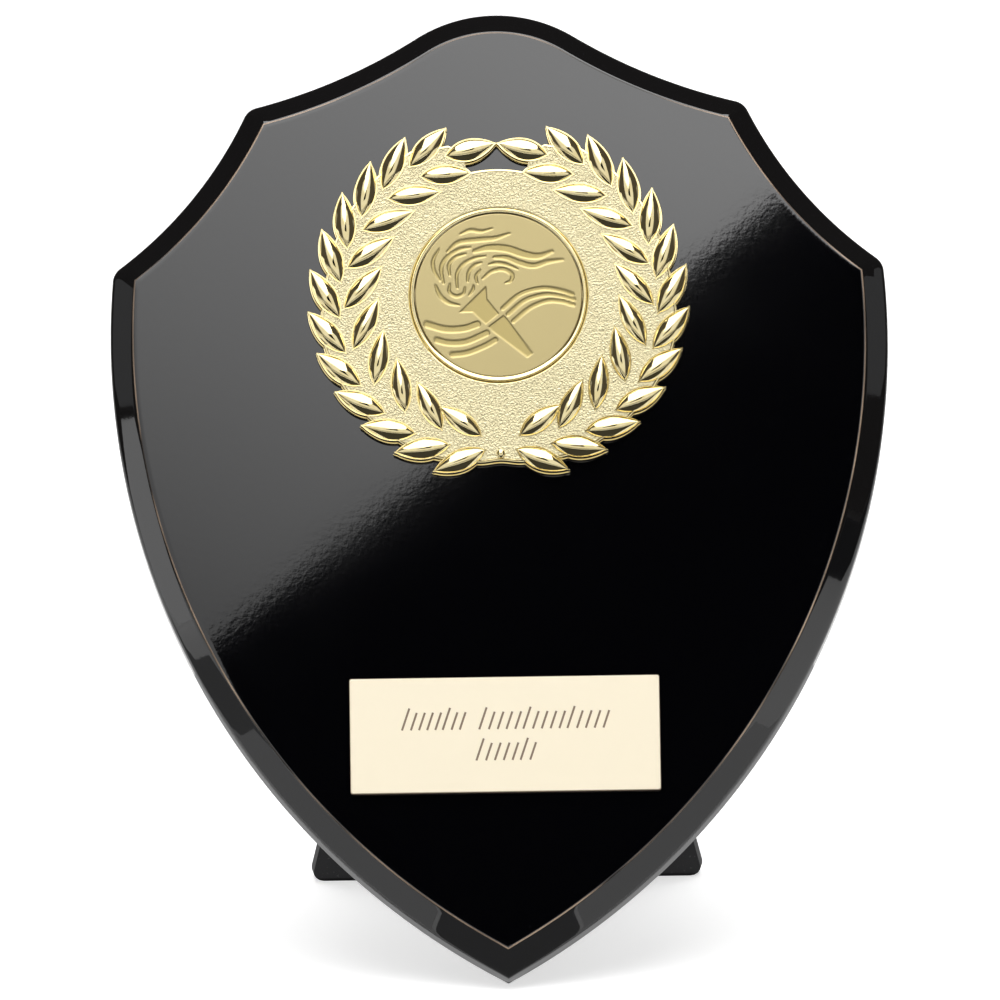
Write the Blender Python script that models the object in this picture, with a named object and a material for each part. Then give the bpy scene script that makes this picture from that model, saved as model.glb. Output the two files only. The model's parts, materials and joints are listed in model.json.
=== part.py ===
"""Award shield plaque that stands on a folding strut.

A black lacquered board with a bevelled edge carries a gilt wreath moulding round a pressed
metal centre, and an engraving plate below it. A bracket screwed to the back holds a hinged
strut. X runs across the board, -Y is the side the plaque faces, and Z is up. The board leans
back on its point and on the two feet of the strut.
"""
from math import atan2, cos, degrees, hypot, pi, radians, sin, sqrt, tan

import bmesh
import bpy
from mathutils import Matrix, Vector

MM = 0.001
GAP = 0.3 * MM
MERGE = 0.002 * MM

# Board
BOARD_LENGTH = 150.0 * MM
BOARD_THICK = 9.0 * MM
BEVEL_WIDTH = 3.5 * MM
BEVEL_DEPTH = 3.2 * MM
ARRIS = 0.5 * MM
BACK_ARRIS = 0.35 * MM
LEAN = radians(23.0)
POINT_FLAT = 0.25 * MM
FLOOR_CUT = 40.0 * MM

# Half of the board's outline from the middle of the top down to the point, as arcs that run
# into each other: radius in millimetres, degrees turned, and how many straight pieces
ARCH = (22.6, 32.05, 8)
OGEE = (-86.9, 17.85, 8)
SHOULDER_CORNER = (2.8, 50.0, 5)
SCALLOP = (-64.0, 27.4, 9)
SIDE_CORNER = (2.9, 48.2, 5)
SIDE = (112.4, 66.97, 26)
HALF_OUTLINE = (ARCH, OGEE, SHOULDER_CORNER, SCALLOP, SIDE_CORNER, SIDE)

# Wreath moulding, measured from the middle of its recess
WREATH_UP = 104.9 * MM
GROUND_TOP = 1.9 * MM
FIELD_RADIUS = 19.7 * MM
RING_OUTER = 13.5 * MM
RING_TOP = 2.35 * MM
RECESS_RADIUS = 12.8 * MM
RECESS_FLOOR = 1.1 * MM
LEAF_RISE = 1.2 * MM
LEAF_ROOT = 0.5 * MM
LEAF_MARGIN = 0.4 * MM

# The ground's outer edge on the right branch, as (degrees from the top, millimetres out). It
# starts at the side of the opening under the two top leaves, whose lower corner is nearer in.
OPENING_CORNER = 20.6 * MM
GROUND_EDGE = ((13.2, 22.6), (18.0, 24.7), (30.0, 26.2), (80.0, 26.4), (108.0, 27.8), (152.0, 27.4),
               (172.0, 26.3), (180.0, 25.8))

# Pressed centre. The sunk torch's shapes are in millimetres from its middle, and each tongue of
# the flame and each band is its width and a few points along it.
CENTRE_RADIUS = 12.5 * MM
CENTRE_THICK = 0.6 * MM
TORCH_DEPTH = 0.2 * MM
CUP = ((-6.0, -2.6), (-4.0, -2.6), (-2.0, -4.5), (0.0, -2.9), (-1.8, -0.6), (-1.9, 1.4))
HANDLE = ((-1.6, -4.9), (0.7, -3.2), (1.3, -3.8), (5.1, -9.2), (4.3, -9.8), (-1.0, -5.6))
FLAME = ((0.5, ((-5.7, 9.6), (-4.2, 10.2), (-2.5, 10.0), (-0.8, 10.4))),
         (0.7, ((-7.7, 6.9), (-6.0, 8.3), (-2.8, 8.7), (-0.4, 8.9), (1.8, 9.6))),
         (1.1, ((-3.6, 6.9), (-1.4, 7.4), (1.4, 7.2), (4.0, 6.3), (6.2, 6.0), (8.3, 6.7))),
         (0.8, ((-0.6, 5.9), (1.3, 5.8), (3.3, 5.0), (5.4, 4.5), (7.6, 5.1), (9.9, 5.4))),
         (0.5, ((-1.4, 4.8), (-0.1, 5.0), (1.4, 4.7), (3.0, 4.0))),
         (0.6, ((-2.4, 2.6), (-1.0, 3.7), (0.8, 4.0), (2.1, 3.2), (1.9, 2.2), (1.1, 1.9))),
         (0.5, ((-8.9, 2.4), (-9.8, 4.0), (-9.9, 5.6), (-9.0, 7.3))),
         (0.6, ((-8.4, 2.0), (-8.7, 4.4), (-7.7, 6.1), (-5.9, 7.2), (-4.2, 7.5))),
         (0.5, ((-7.4, 3.2), (-7.5, 4.8), (-6.5, 6.0), (-4.9, 6.5))),
         (0.5, ((-6.3, 1.2), (-6.3, 3.4), (-5.3, 4.9), (-3.6, 5.8), (-1.9, 6.1))),
         (0.5, ((-4.7, 2.2), (-4.5, 3.6), (-3.6, 4.7), (-2.5, 5.1))),
         (0.4, ((-3.2, 1.9), (-3.4, 3.0), (-2.7, 4.0))),
         (0.6, ((-9.6, 1.6), (-8.9, 0.0), (-7.6, -1.1), (-6.0, -1.5))),
         (0.5, ((-7.4, 1.8), (-7.5, 0.6), (-6.5, -0.1), (-5.4, 0.3), (-5.1, 1.3))),
         (0.4, ((-4.5, 0.0), (-3.9, 0.9), (-3.8, 1.6))))
BANDS = ((1.0, ((-11.0, -4.4), (-8.2, -5.2), (-5.4, -5.15), (-3.3, -4.5))),
         (0.9, ((-9.5, -6.9), (-7.6, -7.35), (-5.0, -7.2), (-1.9, -5.9))),
         (0.8, ((-7.2, -9.2), (-4.8, -8.9), (-2.0, -7.8), (-0.6, -7.0))),
         (0.6, ((0.6, -2.1), (3.3, 0.1), (6.5, 0.95), (9.2, 0.65), (11.3, -0.05))),
         (0.6, ((1.4, -3.0), (4.0, -0.9), (7.0, -0.05), (9.3, -0.25), (11.5, -0.85))),
         (0.6, ((2.2, -4.1), (4.7, -2.1), (7.3, -1.05), (9.5, -1.1), (11.4, -1.65))))

# Engraving plate. Each group of strokes is (from, to, up) in millimetres from the plate's middle.
PLATE_WIDTH = 47.2 * MM
PLATE_HEIGHT = 17.8 * MM
PLATE_THICK = 0.6 * MM
PLATE_UP = 36.9 * MM
PLATE_EDGE = 0.15 * MM
PLATE_CORNER = 0.3 * MM
STROKE_GROUPS = ((-15.7, -5.8, 0.8), (-4.0, 16.1, 0.8), (-4.5, 4.9, -4.0))
STROKE_PITCH = 1.3
TALL_STROKE = 3.4
SHORT_STROKE = 2.7
TALL_EVERY = 5
STROKE_DEPTH = 0.12 * MM
STROKE_WIDTH = 0.32
STROKE_SLANT = radians(19.0)

# Strut
HINGE_UP = 85.0 * MM
FOOT_BACK = 72.5 * MM
BARREL_RADIUS = 2.7 * MM
PIN_RADIUS = 1.5 * MM
LEG_THICK = 4.0 * MM
LEG_FOOT_WIDTH = 61.6 * MM
LEG_TAPER = radians(12.0)
LEG_CORNER = 1.6 * MM
LEG_PANEL_CORNER = 0.8 * MM
LEG_RIM = 2.4 * MM
LEG_RIM_FOOT = 3.6 * MM
LEG_RIM_TOP = 6.0 * MM
PANEL_DEPTH = 1.5 * MM
RIB_COUNT = 7
RIB_WIDTH = 0.6 * MM
RIB_RISE = 0.4 * MM
FOOT_ARCH_WIDTH = 40.0 * MM
FOOT_ARCH_RISE = 1.2 * MM
HEEL_LENGTH = 4.0 * MM
HEEL_HALF = 12.0 * MM
HEEL_BELOW = 2.0 * MM
BRACKET_THICK = 2.0 * MM
BRACKET_WIDTH = 38.0 * MM
BRACKET_BELOW = 6.0 * MM
BRACKET_ABOVE = 20.0 * MM
BRACKET_CORNER = 3.0 * MM
LUG_THICK = 3.4 * MM
LUG_RADIUS = 3.6 * MM
BARREL_HALF = 14.4 * MM
LUG_BASE_HALF = 5.0 * MM
LUG_CLEAR = 0.4 * MM
SCREW_APART = 20.0 * MM
SCREW_ABOVE = 13.0 * MM
SCREW_HEAD_RADIUS = 2.9 * MM
SCREW_HEAD_RISE = 1.7 * MM
SHANK_RADIUS = 1.45 * MM
SHANK_LENGTH = 8.0 * MM
PILOT_SPARE = 0.6 * MM
CROSS_LONG = 2.4 * MM
CROSS_WIDE = 0.6 * MM
ROUND_SIDES = 24

HINGE_OUT = BOARD_THICK + GAP + BRACKET_THICK + LUG_CLEAR + BARREL_RADIUS


def clear_scene():
    """Start from an empty scene."""
    for thing in list(bpy.data.objects):
        bpy.data.objects.remove(thing)


def material(name, colour, roughness, metallic=0.0):
    """One plain finish."""
    finish = bpy.data.materials.new(name)
    finish.use_nodes = True
    shader = finish.node_tree.nodes["Principled BSDF"]
    shader.inputs["Base Color"].default_value = (*colour, 1.0)
    shader.inputs["Roughness"].default_value = roughness
    shader.inputs["Metallic"].default_value = metallic
    return finish


def frame(name, parent, location, turn):
    """An empty that carries pieces, turned about X in its parent."""
    carrier = bpy.data.objects.new(name, None)
    carrier.parent = parent
    carrier.location = location
    carrier.rotation_euler.x = turn
    plaque.objects.link(carrier)
    return carrier


def place(name, mesh, parent, finish):
    """Make a finished piece from a mesh and hang it on its parent."""
    piece = bpy.data.objects.new(name, mesh)
    piece.parent = parent
    mesh.materials.clear()
    mesh.materials.append(finish)
    plaque.objects.link(piece)
    return piece


def tool(name, mesh, parent):
    """Make a shape that only cuts or is joined on."""
    shape = bpy.data.objects.new(name, mesh)
    shape.parent = parent
    shape.hide_render = True
    shape.display_type = "WIRE"
    tools.objects.link(shape)
    return shape


def boolean(piece, shape, operation, crosses_itself=False):
    """Cut a piece with a shape, or join the shape on."""
    step = piece.modifiers.new(shape.name, "BOOLEAN")
    step.operation = operation
    step.solver = "EXACT"
    step.use_self = crosses_itself
    step.object = shape


def mesh_from(bm, name):
    """Close a bmesh into a mesh with its faces pointing out."""
    bmesh.ops.remove_doubles(bm, verts=bm.verts, dist=MERGE)
    bmesh.ops.recalc_face_normals(bm, faces=bm.faces)
    mesh = bpy.data.meshes.new(name)
    bm.to_mesh(mesh)
    bm.free()
    return mesh


def add_prism(bm, outline, low, high):
    """A flat outline in X and Y, filled and drawn out from low to high."""
    curve = bpy.data.curves.new("outline", "CURVE")
    curve.dimensions = "2D"
    curve.fill_mode = "BOTH"
    curve.extrude = (high - low) / 2
    spline = curve.splines.new("POLY")
    spline.points.add(len(outline) - 1)
    for point, (x, y) in zip(spline.points, outline):
        point.co = (x, y, 0, 1)
    spline.use_cyclic_u = True
    guide = bpy.data.objects.new("outline", curve)
    bpy.context.scene.collection.objects.link(guide)
    view = bpy.context.evaluated_depsgraph_get()
    flat = bpy.data.meshes.new_from_object(guide.evaluated_get(view))
    flat.transform(Matrix.Translation((0, 0, (low + high) / 2)))
    bm.from_mesh(flat)
    bpy.data.objects.remove(guide)
    bpy.data.curves.remove(curve)
    bpy.data.meshes.remove(flat)


def prism(name, outline, low, high):
    """One prism as a mesh."""
    bm = bmesh.new()
    add_prism(bm, outline, low, high)
    return mesh_from(bm, name)


def add_loft(bm, sections):
    """Skin closed sections of equal count, and cap the first and the last."""
    rows = [[bm.verts.new(point) for point in section] for section in sections]
    for upper, lower in zip(rows, rows[1:]):
        for i in range(len(upper)):
            j = (i + 1) % len(upper)
            bm.faces.new((upper[i], lower[i], lower[j], upper[j]))
    bm.faces.new(rows[0])
    bm.faces.new(reversed(rows[-1]))


def cylinder(name, radius, low, high, at=(0, 0), sides=ROUND_SIDES):
    """An upright cylinder as a mesh."""
    bm = bmesh.new()
    bmesh.ops.create_cone(bm, cap_ends=True, segments=sides, radius1=radius, radius2=radius,
                          depth=high - low,
                          matrix=Matrix.Translation((at[0], at[1], (low + high) / 2)))
    return mesh_from(bm, name)


def rounded_box(half_width, low, high, radius, steps=4):
    """The outline of a rectangle with rounded corners, from low to high along Y."""
    outline = []
    corners = ((half_width, high, 0), (-half_width, high, 90), (-half_width, low, 180),
               (half_width, low, 270))
    for x, y, start in corners:
        middle = (x - radius if x > 0 else x + radius, y - radius if y == high else y + radius)
        for k in range(steps + 1):
            turn = radians(start + 90 * k / steps)
            outline.append((middle[0] + radius * cos(turn), middle[1] + radius * sin(turn)))
    return outline


def board_stations():
    """Points down one half of the outline, each with its outward heading and its arc."""
    at = Vector((0.0, BOARD_LENGTH))
    heading = 0.0
    stations = [(at.copy(), heading, 0)]
    centres = []
    for index, (radius, turn, pieces) in enumerate(HALF_OUTLINE):
        size = abs(radius) * MM
        bend = 1 if radius > 0 else -1
        out = Vector((sin(heading), cos(heading)))
        centre = at - out * size * bend
        centres.append(centre)
        start = heading
        for k in range(1, pieces + 1):
            heading = start + bend * radians(turn) * k / pieces
            at = centre + Vector((sin(heading), cos(heading))) * size * bend
            stations.append((at.copy(), heading, index))
    stations[-1] = (Vector((0.0, 0.0)), stations[-1][1], stations[-1][2])
    return stations, centres


def circles_meet(centre_a, radius_a, centre_b, radius_b, near):
    """The meeting point of two circles that is nearer to a given point."""
    across = centre_b - centre_a
    apart = across.length
    along = (apart ** 2 + radius_a ** 2 - radius_b ** 2) / (2 * apart)
    aside = sqrt(max(radius_a ** 2 - along ** 2, 0))
    way = across / apart
    square = Vector((-way.y, way.x))
    options = [centre_a + way * along + square * aside * side for side in (1, -1)]
    return min(options, key=lambda point: (point - near).length)


def board_outline(inset):
    """The whole outline, moved inwards, with mitred corners where it passes a corner's radius."""
    stations, centres = board_stations()
    names = list(HALF_OUTLINE)
    ogee, shoulder, scallop, corner, side = (names.index(arc) for arc in
                                             (OGEE, SHOULDER_CORNER, SCALLOP, SIDE_CORNER, SIDE))
    sharp_shoulder = inset > SHOULDER_CORNER[0] * MM
    sharp_corner = inset > SIDE_CORNER[0] * MM
    ogee_radius = abs(OGEE[0]) * MM + inset
    scallop_radius = abs(SCALLOP[0]) * MM + inset
    side_radius = SIDE[0] * MM - inset
    shoulder_at = next(at for at, _, index in stations if index == shoulder)
    corner_at = next(at for at, _, index in stations if index == corner)
    upper_mitre = circles_meet(centres[ogee], ogee_radius, centres[scallop], scallop_radius, shoulder_at)
    lower_mitre = circles_meet(centres[scallop], scallop_radius, centres[side], side_radius, corner_at)
    half = []
    for at, heading, index in stations:
        point = at - Vector((sin(heading), cos(heading))) * inset
        if sharp_shoulder:
            past = (index == ogee and point.x > upper_mitre.x) or index == shoulder
            if past or (index == scallop and point.y > upper_mitre.y):
                point = upper_mitre
        if sharp_corner:
            past = (index == scallop and point.x > lower_mitre.x) or index == corner
            if past or (index == side and point.y > lower_mitre.y):
                point = lower_mitre
        if index == len(names) - 1 and point.x <= 0:
            point = Vector((0.0, inset / abs(cos(stations[-1][1]))))
        half.append((max(point.x, 0.0), point.y))
    other = [(-x, y) for x, y in reversed(half[1:-1])]
    return half + other


def board_mesh():
    """The board, lofted from its face over the bevel and the wall to its back."""
    slope = hypot(BEVEL_WIDTH, BEVEL_DEPTH)
    near = ARRIS / slope
    profile = [(BEVEL_WIDTH, 0.0),
               (BEVEL_WIDTH * near, -BEVEL_DEPTH * (1 - near)),
               (BEVEL_WIDTH * near * 0.3, -BEVEL_DEPTH - ARRIS * 0.1),
               (0.0, -BEVEL_DEPTH - ARRIS),
               (0.0, -BOARD_THICK + BACK_ARRIS),
               (BACK_ARRIS, -BOARD_THICK)]
    sections = [[(x, y, depth) for x, y in board_outline(inset)] for inset, depth in profile]
    bm = bmesh.new()
    add_loft(bm, sections)
    return mesh_from(bm, "shield_board")


def polar(angle, radius):
    """A point on the wreath: angle in degrees from the top towards +X, radius from its middle."""
    turn = radians(angle)
    return Vector((radius * sin(turn), radius * cos(turn)))


def blend(stations, value):
    """Read a smooth value between stations of (place, value)."""
    for (low, low_value), (high, high_value) in zip(stations, stations[1:]):
        if value <= high:
            part = max(0.0, (value - low) / (high - low))
            part = part * part * (3 - 2 * part)
            return low_value + (high_value - low_value) * part
    return stations[-1][1]


def wreath_leaves():
    """Root, tip and width of each leaf on the right branch, the outer ones first."""
    outer = [(polar(19.3, 23.2 * MM), polar(0.9, 23.7 * MM), 2.75 * MM)]
    for k in range(12):
        root = 32.9 + 12.82 * k
        tip = root - 16.0 + 1.8 * k / 11
        root_out = 24.3 + 1.1 * max(0.0, sin(pi * (k - 4.5) / 6))
        tip_out = 28.2 + 0.8 * min(k / 6, 1) - (1.0 if k == 0 else 0.0)
        outer.append((polar(root, root_out * MM), polar(tip, tip_out * MM), 2.5 * MM))
    inner = []
    for k in range(10):
        root = 31.6 + 15.6 * k
        tip = root - 19.5 + 1.5 * sin(pi * k / 9)
        root_out = 22.0 + 1.6 * sin(pi * k / 9)
        tip_out = 18.5 + (1.1 if k in (0, 9) else 0.0)
        inner.append((polar(root, root_out * MM), polar(tip, tip_out * MM), 2.45 * MM))
    return outer, inner


def leaf_fullness(part):
    """How wide a leaf is along its length, as a share of its widest place."""
    return sin(pi * part ** 0.88) ** 0.92


def leaf_outline(root, tip, width, margin, pieces=7):
    """A pointed leaf's outline, grown by a margin."""
    way = (tip - root).normalized()
    aside = Vector((-way.y, way.x))
    begin = root - way * margin
    length = (tip - root).length + margin * 2
    left = []
    right = []
    for k in range(1, pieces):
        part = k / pieces
        half = width / 2 * leaf_fullness(part) + margin * min(1.0, 4 * part, 4 * (1 - part))
        middle = begin + way * length * part
        left.append(middle + aside * half)
        right.append(middle - aside * half)
    points = [begin] + left + [begin + way * length] + right[::-1]
    return [(point.x, point.y) for point in points]


def add_leaf(bm, root, tip, width):
    """A pointed pod that rises from the moulding's ground."""
    way = (tip - root).normalized()
    aside = Vector((-way.y, way.x))
    length = (tip - root).length
    low = GROUND_TOP - LEAF_ROOT
    section = ((-1.0, 0.0), (-0.62, 0.72), (0.0, 1.0), (0.62, 0.72), (1.0, 0.0))
    rows = []
    for part in (0.12, 0.3, 0.5, 0.7, 0.88):
        half = width / 2 * leaf_fullness(part)
        rise = LEAF_RISE * leaf_fullness(part) ** 0.8
        middle = root + way * length * part
        over = [middle + aside * half * across for across, _ in section]
        row = [(*over[0], low)]
        row += [(*point, GROUND_TOP + rise * up) for point, (_, up) in zip(over, section)]
        row.append((*over[-1], low))
        rows.append([bm.verts.new(co) for co in row])
    for row, following in zip(rows, rows[1:]):
        for i in range(len(row)):
            j = (i + 1) % len(row)
            bm.faces.new((row[i], row[j], following[j], following[i]))
    for row, end in ((rows[0], root), (rows[-1], tip)):
        below = bm.verts.new((end.x, end.y, low))
        above = bm.verts.new((end.x, end.y, GROUND_TOP))
        ring = row[:2] + row[2:]
        for i in range(1, len(ring) - 2):
            bm.faces.new((ring[i], ring[i + 1], above))
        bm.faces.new((ring[0], ring[1], above, below))
        bm.faces.new((ring[-2], ring[-1], below, above))
        bm.faces.new((ring[-1], ring[0], below))


def mirrored(leaves):
    """The same leaves on both branches."""
    both = []
    for root, tip, width in leaves:
        both.append((root, tip, width))
        both.append((Vector((-root.x, root.y)), Vector((-tip.x, tip.y)), width))
    return both


def build_wreath(parent, gold):
    """The gilt moulding: stippled ground, leaves, and the ring round the recess."""
    first = GROUND_EDGE[0][0]
    steps = 84
    right = [polar(first, OPENING_CORNER)]
    for k in range(steps + 1):
        angle = first + (180 - first) * k / steps
        right.append(polar(angle, blend(GROUND_EDGE, angle) * MM))
    ground = [(p.x, p.y) for p in right] + [(-p.x, p.y) for p in right[-2::-1]]
    for k in range(1, 6):
        opening = polar(first * (k / 3 - 1), FIELD_RADIUS)
        ground.append((opening.x, opening.y))
    wreath = place("wreath_trim", prism("wreath_trim", ground, GAP, GROUND_TOP), parent, gold)
    outer, inner = wreath_leaves()
    pads = bmesh.new()
    for root, tip, width in mirrored(outer):
        add_prism(pads, leaf_outline(root, tip, width, LEAF_MARGIN), GAP, GROUND_TOP)
    boolean(wreath, tool("leaf_grounds", mesh_from(pads, "leaf_grounds"), parent), "UNION", True)
    pods = bmesh.new()
    for root, tip, width in mirrored(outer + inner):
        add_leaf(pods, root, tip, width)
    boolean(wreath, tool("leaves", mesh_from(pods, "leaves"), parent), "UNION", True)
    ring = cylinder("ring", RING_OUTER, GROUND_TOP - LEAF_ROOT, RING_TOP, sides=56)
    boolean(wreath, tool("ring", ring, parent), "UNION")
    recess = cylinder("recess", RECESS_RADIUS, RECESS_FLOOR, RING_TOP + MM, sides=56)
    boolean(wreath, tool("recess", recess, parent), "DIFFERENCE")


def smooth_path(points, pieces):
    """Even stations along a smooth curve through a few points, with its direction at each."""
    points = [Vector(point) for point in points]
    before = points[0] * 2 - points[1]
    after = points[-1] * 2 - points[-2]
    chain = [before] + points + [after]
    spans = len(points) - 1
    stations = []
    for k in range(pieces + 1):
        place_along = spans * k / pieces
        span = min(int(place_along), spans - 1)
        t = place_along - span
        a, b, c, d = chain[span:span + 4]
        cubic = b * 3 - c * 3 + d - a
        square = a * 2 - b * 5 + c * 4 - d
        at = (cubic * t ** 3 + square * t ** 2 + (c - a) * t + b * 2) / 2
        way = cubic * 3 * t ** 2 + square * 2 * t + c - a
        stations.append((at, way.normalized()))
    return stations


def ribbon(points, widths, pieces=6):
    """The outline of a curved band through a few points, in millimetres, its width changing evenly."""
    left = []
    right = []
    for k, (at, way) in enumerate(smooth_path(points, pieces)):
        part = k / pieces
        aside = Vector((-way.y, way.x)) * (widths[0] + (widths[1] - widths[0]) * part) / 2
        left.append((at + aside) * MM)
        right.append((at - aside) * MM)
    return [(p.x, p.y) for p in left + right[::-1]]


def torch_outlines():
    """The sunk shapes of a torch with a swept flame and three bands on each side."""
    shapes = [[(x * MM, y * MM) for x, y in outline] for outline in (CUP, HANDLE)]
    shapes += [ribbon(points, (width, width / 2), 5) for width, points in FLAME]
    shapes += [ribbon(points, (width, width)) for width, points in BANDS]
    return shapes


def build_centre(parent, gold):
    """The pressed metal centre with its sunk torch."""
    low = RECESS_FLOOR + GAP
    face = low + CENTRE_THICK
    centre = place("centre_disc", cylinder("centre_disc", CENTRE_RADIUS, low, face, sides=56), parent, gold)
    cuts = bmesh.new()
    for outline in torch_outlines():
        add_prism(cuts, outline, face - TORCH_DEPTH, face + MM)
    boolean(centre, tool("torch", mesh_from(cuts, "torch"), parent), "DIFFERENCE", True)


def stroke_rows():
    """Place along the row, foot and height of the slanted strokes that stand for two engraved rows."""
    rows = []
    for start, end, foot in STROKE_GROUPS:
        count = round((end - start) / STROKE_PITCH)
        for k in range(count):
            tall = TALL_STROKE if k % TALL_EVERY == 0 else SHORT_STROKE
            rows.append((start + (end - start) * (k + 0.5) / count, foot, tall))
    return rows


def build_plate(parent, gold):
    """The thin engraving plate with its shallow strokes."""
    bm = bmesh.new()
    half_width = PLATE_WIDTH / 2
    half_height = PLATE_HEIGHT / 2
    sections = []
    for inset, up in ((0.0, GAP), (0.0, GAP + PLATE_THICK - PLATE_EDGE), (PLATE_EDGE, GAP + PLATE_THICK)):
        outline = rounded_box(half_width - inset, -half_height + inset, half_height - inset, PLATE_CORNER, 2)
        sections.append([(x, y, up) for x, y in outline])
    add_loft(bm, sections)
    plate = place("engraving_plate", mesh_from(bm, "engraving_plate"), parent, gold)
    cuts = bmesh.new()
    slant = tan(STROKE_SLANT)
    for across, foot, tall in stroke_rows():
        route = ((across - slant * tall / 2, foot), (across + slant * tall / 2, foot + tall))
        add_prism(cuts, ribbon(route, (STROKE_WIDTH, STROKE_WIDTH), 1),
                  GAP + PLATE_THICK - STROKE_DEPTH, GAP + PLATE_THICK + MM)
    boolean(plate, tool("strokes", mesh_from(cuts, "strokes"), parent), "DIFFERENCE")


def screw_places():
    """Where the two screws go in, across and up the board."""
    return [(side * SCREW_APART / 2, HINGE_UP + SCREW_ABOVE) for side in (-1, 1)]


def build_board(parent, lacquer):
    """The board with its pilot holes, and its point flattened where it rests."""
    board = place("shield_board", board_mesh(), parent, lacquer)
    holes = bmesh.new()
    for x, y in screw_places():
        depth = SHANK_LENGTH - BRACKET_THICK + PILOT_SPARE
        bmesh.ops.create_cone(holes, cap_ends=True, segments=12, radius1=SHANK_RADIUS + GAP,
                              radius2=SHANK_RADIUS + GAP, depth=depth * 2,
                              matrix=Matrix.Translation((x, y, -BOARD_THICK)))
    boolean(board, tool("pilot_holes", mesh_from(holes, "pilot_holes"), parent), "DIFFERENCE")
    return board


def across_board(mesh):
    """Turn a prism drawn in X and Y so that it runs along X, with its own X to the front."""
    mesh.transform(Matrix(((0, 0, 1, 0), (0, 1, 0, 0), (1, 0, 0, 0), (0, 0, 0, 1))))
    mesh.flip_normals()
    return mesh


def build_bracket(parent, plastic):
    """The hinge plate with two lugs, screwed to the board's back."""
    front = -BOARD_THICK - GAP
    back = front - BRACKET_THICK
    outline = rounded_box(BRACKET_WIDTH / 2, HINGE_UP - BRACKET_BELOW, HINGE_UP + BRACKET_ABOVE,
                          BRACKET_CORNER)
    bracket = place("strut_bracket", prism("strut_bracket", outline, back, front), parent, plastic)
    into_plate = back + BRACKET_THICK / 4
    lug = [(into_plate, HINGE_UP - LUG_BASE_HALF), (into_plate, HINGE_UP + LUG_BASE_HALF)]
    for k in range(9):
        turn = radians(60 + 30 * k)
        lug.append((-HINGE_OUT + LUG_RADIUS * cos(turn), HINGE_UP + LUG_RADIUS * sin(turn)))
    inner = BARREL_HALF + LUG_CLEAR
    lugs = bmesh.new()
    for low in (inner, -inner - LUG_THICK):
        add_prism(lugs, lug, low, low + LUG_THICK)
    boolean(bracket, tool("lugs", across_board(mesh_from(lugs, "lugs")), parent), "UNION")
    reach = inner + LUG_THICK + MM
    hole = cylinder("pin_hole", PIN_RADIUS + GAP, -reach, reach, at=(-HINGE_OUT, HINGE_UP), sides=16)
    boolean(bracket, tool("pin_hole", across_board(hole), parent), "DIFFERENCE")
    holes = bmesh.new()
    for x, y in screw_places():
        bmesh.ops.create_cone(holes, cap_ends=True, segments=12, radius1=SHANK_RADIUS + GAP,
                              radius2=SHANK_RADIUS + GAP, depth=BRACKET_THICK * 3,
                              matrix=Matrix.Translation((x, y, (front + back) / 2)))
    boolean(bracket, tool("screw_holes", mesh_from(holes, "screw_holes"), parent), "DIFFERENCE")


def build_screws(parent, steel):
    """Two pan-head screws with crossed slots."""
    under_head = -BOARD_THICK - GAP - BRACKET_THICK - GAP
    for side, (x, y) in zip(("left", "right"), screw_places()):
        profile = ((SHANK_RADIUS, under_head + SHANK_LENGTH), (SHANK_RADIUS, under_head),
                   (SCREW_HEAD_RADIUS, under_head), (SCREW_HEAD_RADIUS, under_head - SCREW_HEAD_RISE * 0.5),
                   (SCREW_HEAD_RADIUS * 0.6, under_head - SCREW_HEAD_RISE))
        sections = []
        for radius, depth in profile:
            turns = [2 * pi * k / 16 for k in range(16)]
            sections.append([(x + radius * cos(t), y + radius * sin(t), depth) for t in turns])
        bm = bmesh.new()
        add_loft(bm, sections)
        screw = place("bracket_screw_" + side, mesh_from(bm, "bracket_screw"), parent, steel)
        slots = bmesh.new()
        for across, along in ((CROSS_LONG, CROSS_WIDE), (CROSS_WIDE, CROSS_LONG)):
            size = Matrix.Diagonal((across, along, SCREW_HEAD_RISE * 1.2, 1))
            bmesh.ops.create_cube(slots, size=1.0,
                                  matrix=Matrix.Translation((x, y, under_head - SCREW_HEAD_RISE)) @ size)
        boolean(screw, tool("cross_" + side, mesh_from(slots, "cross"), parent), "DIFFERENCE", True)


def leg_outline(low, high, leg_length, inset, corner):
    """The leg's taper between two places along it, moved in from its sides, its low corners rounded."""
    grow = tan(LEG_TAPER)
    edge = inset / cos(LEG_TAPER)
    half_low = LEG_FOOT_WIDTH / 2 - (low + leg_length) * grow - edge
    half_high = LEG_FOOT_WIDTH / 2 - (high + leg_length) * grow - edge
    outline = [(half_high, high), (-half_high, high)]
    corner_in = corner * (1 / cos(LEG_TAPER) + grow)
    sweep = 90 + degrees(LEG_TAPER)
    for side, start in ((-1, 270 - sweep), (1, 270)):
        middle = (side * (half_low - corner_in), low + corner)
        for k in range(5):
            turn = radians(start + sweep * k / 4)
            outline.append((middle[0] + corner * cos(turn), middle[1] + corner * sin(turn)))
    return outline


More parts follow.
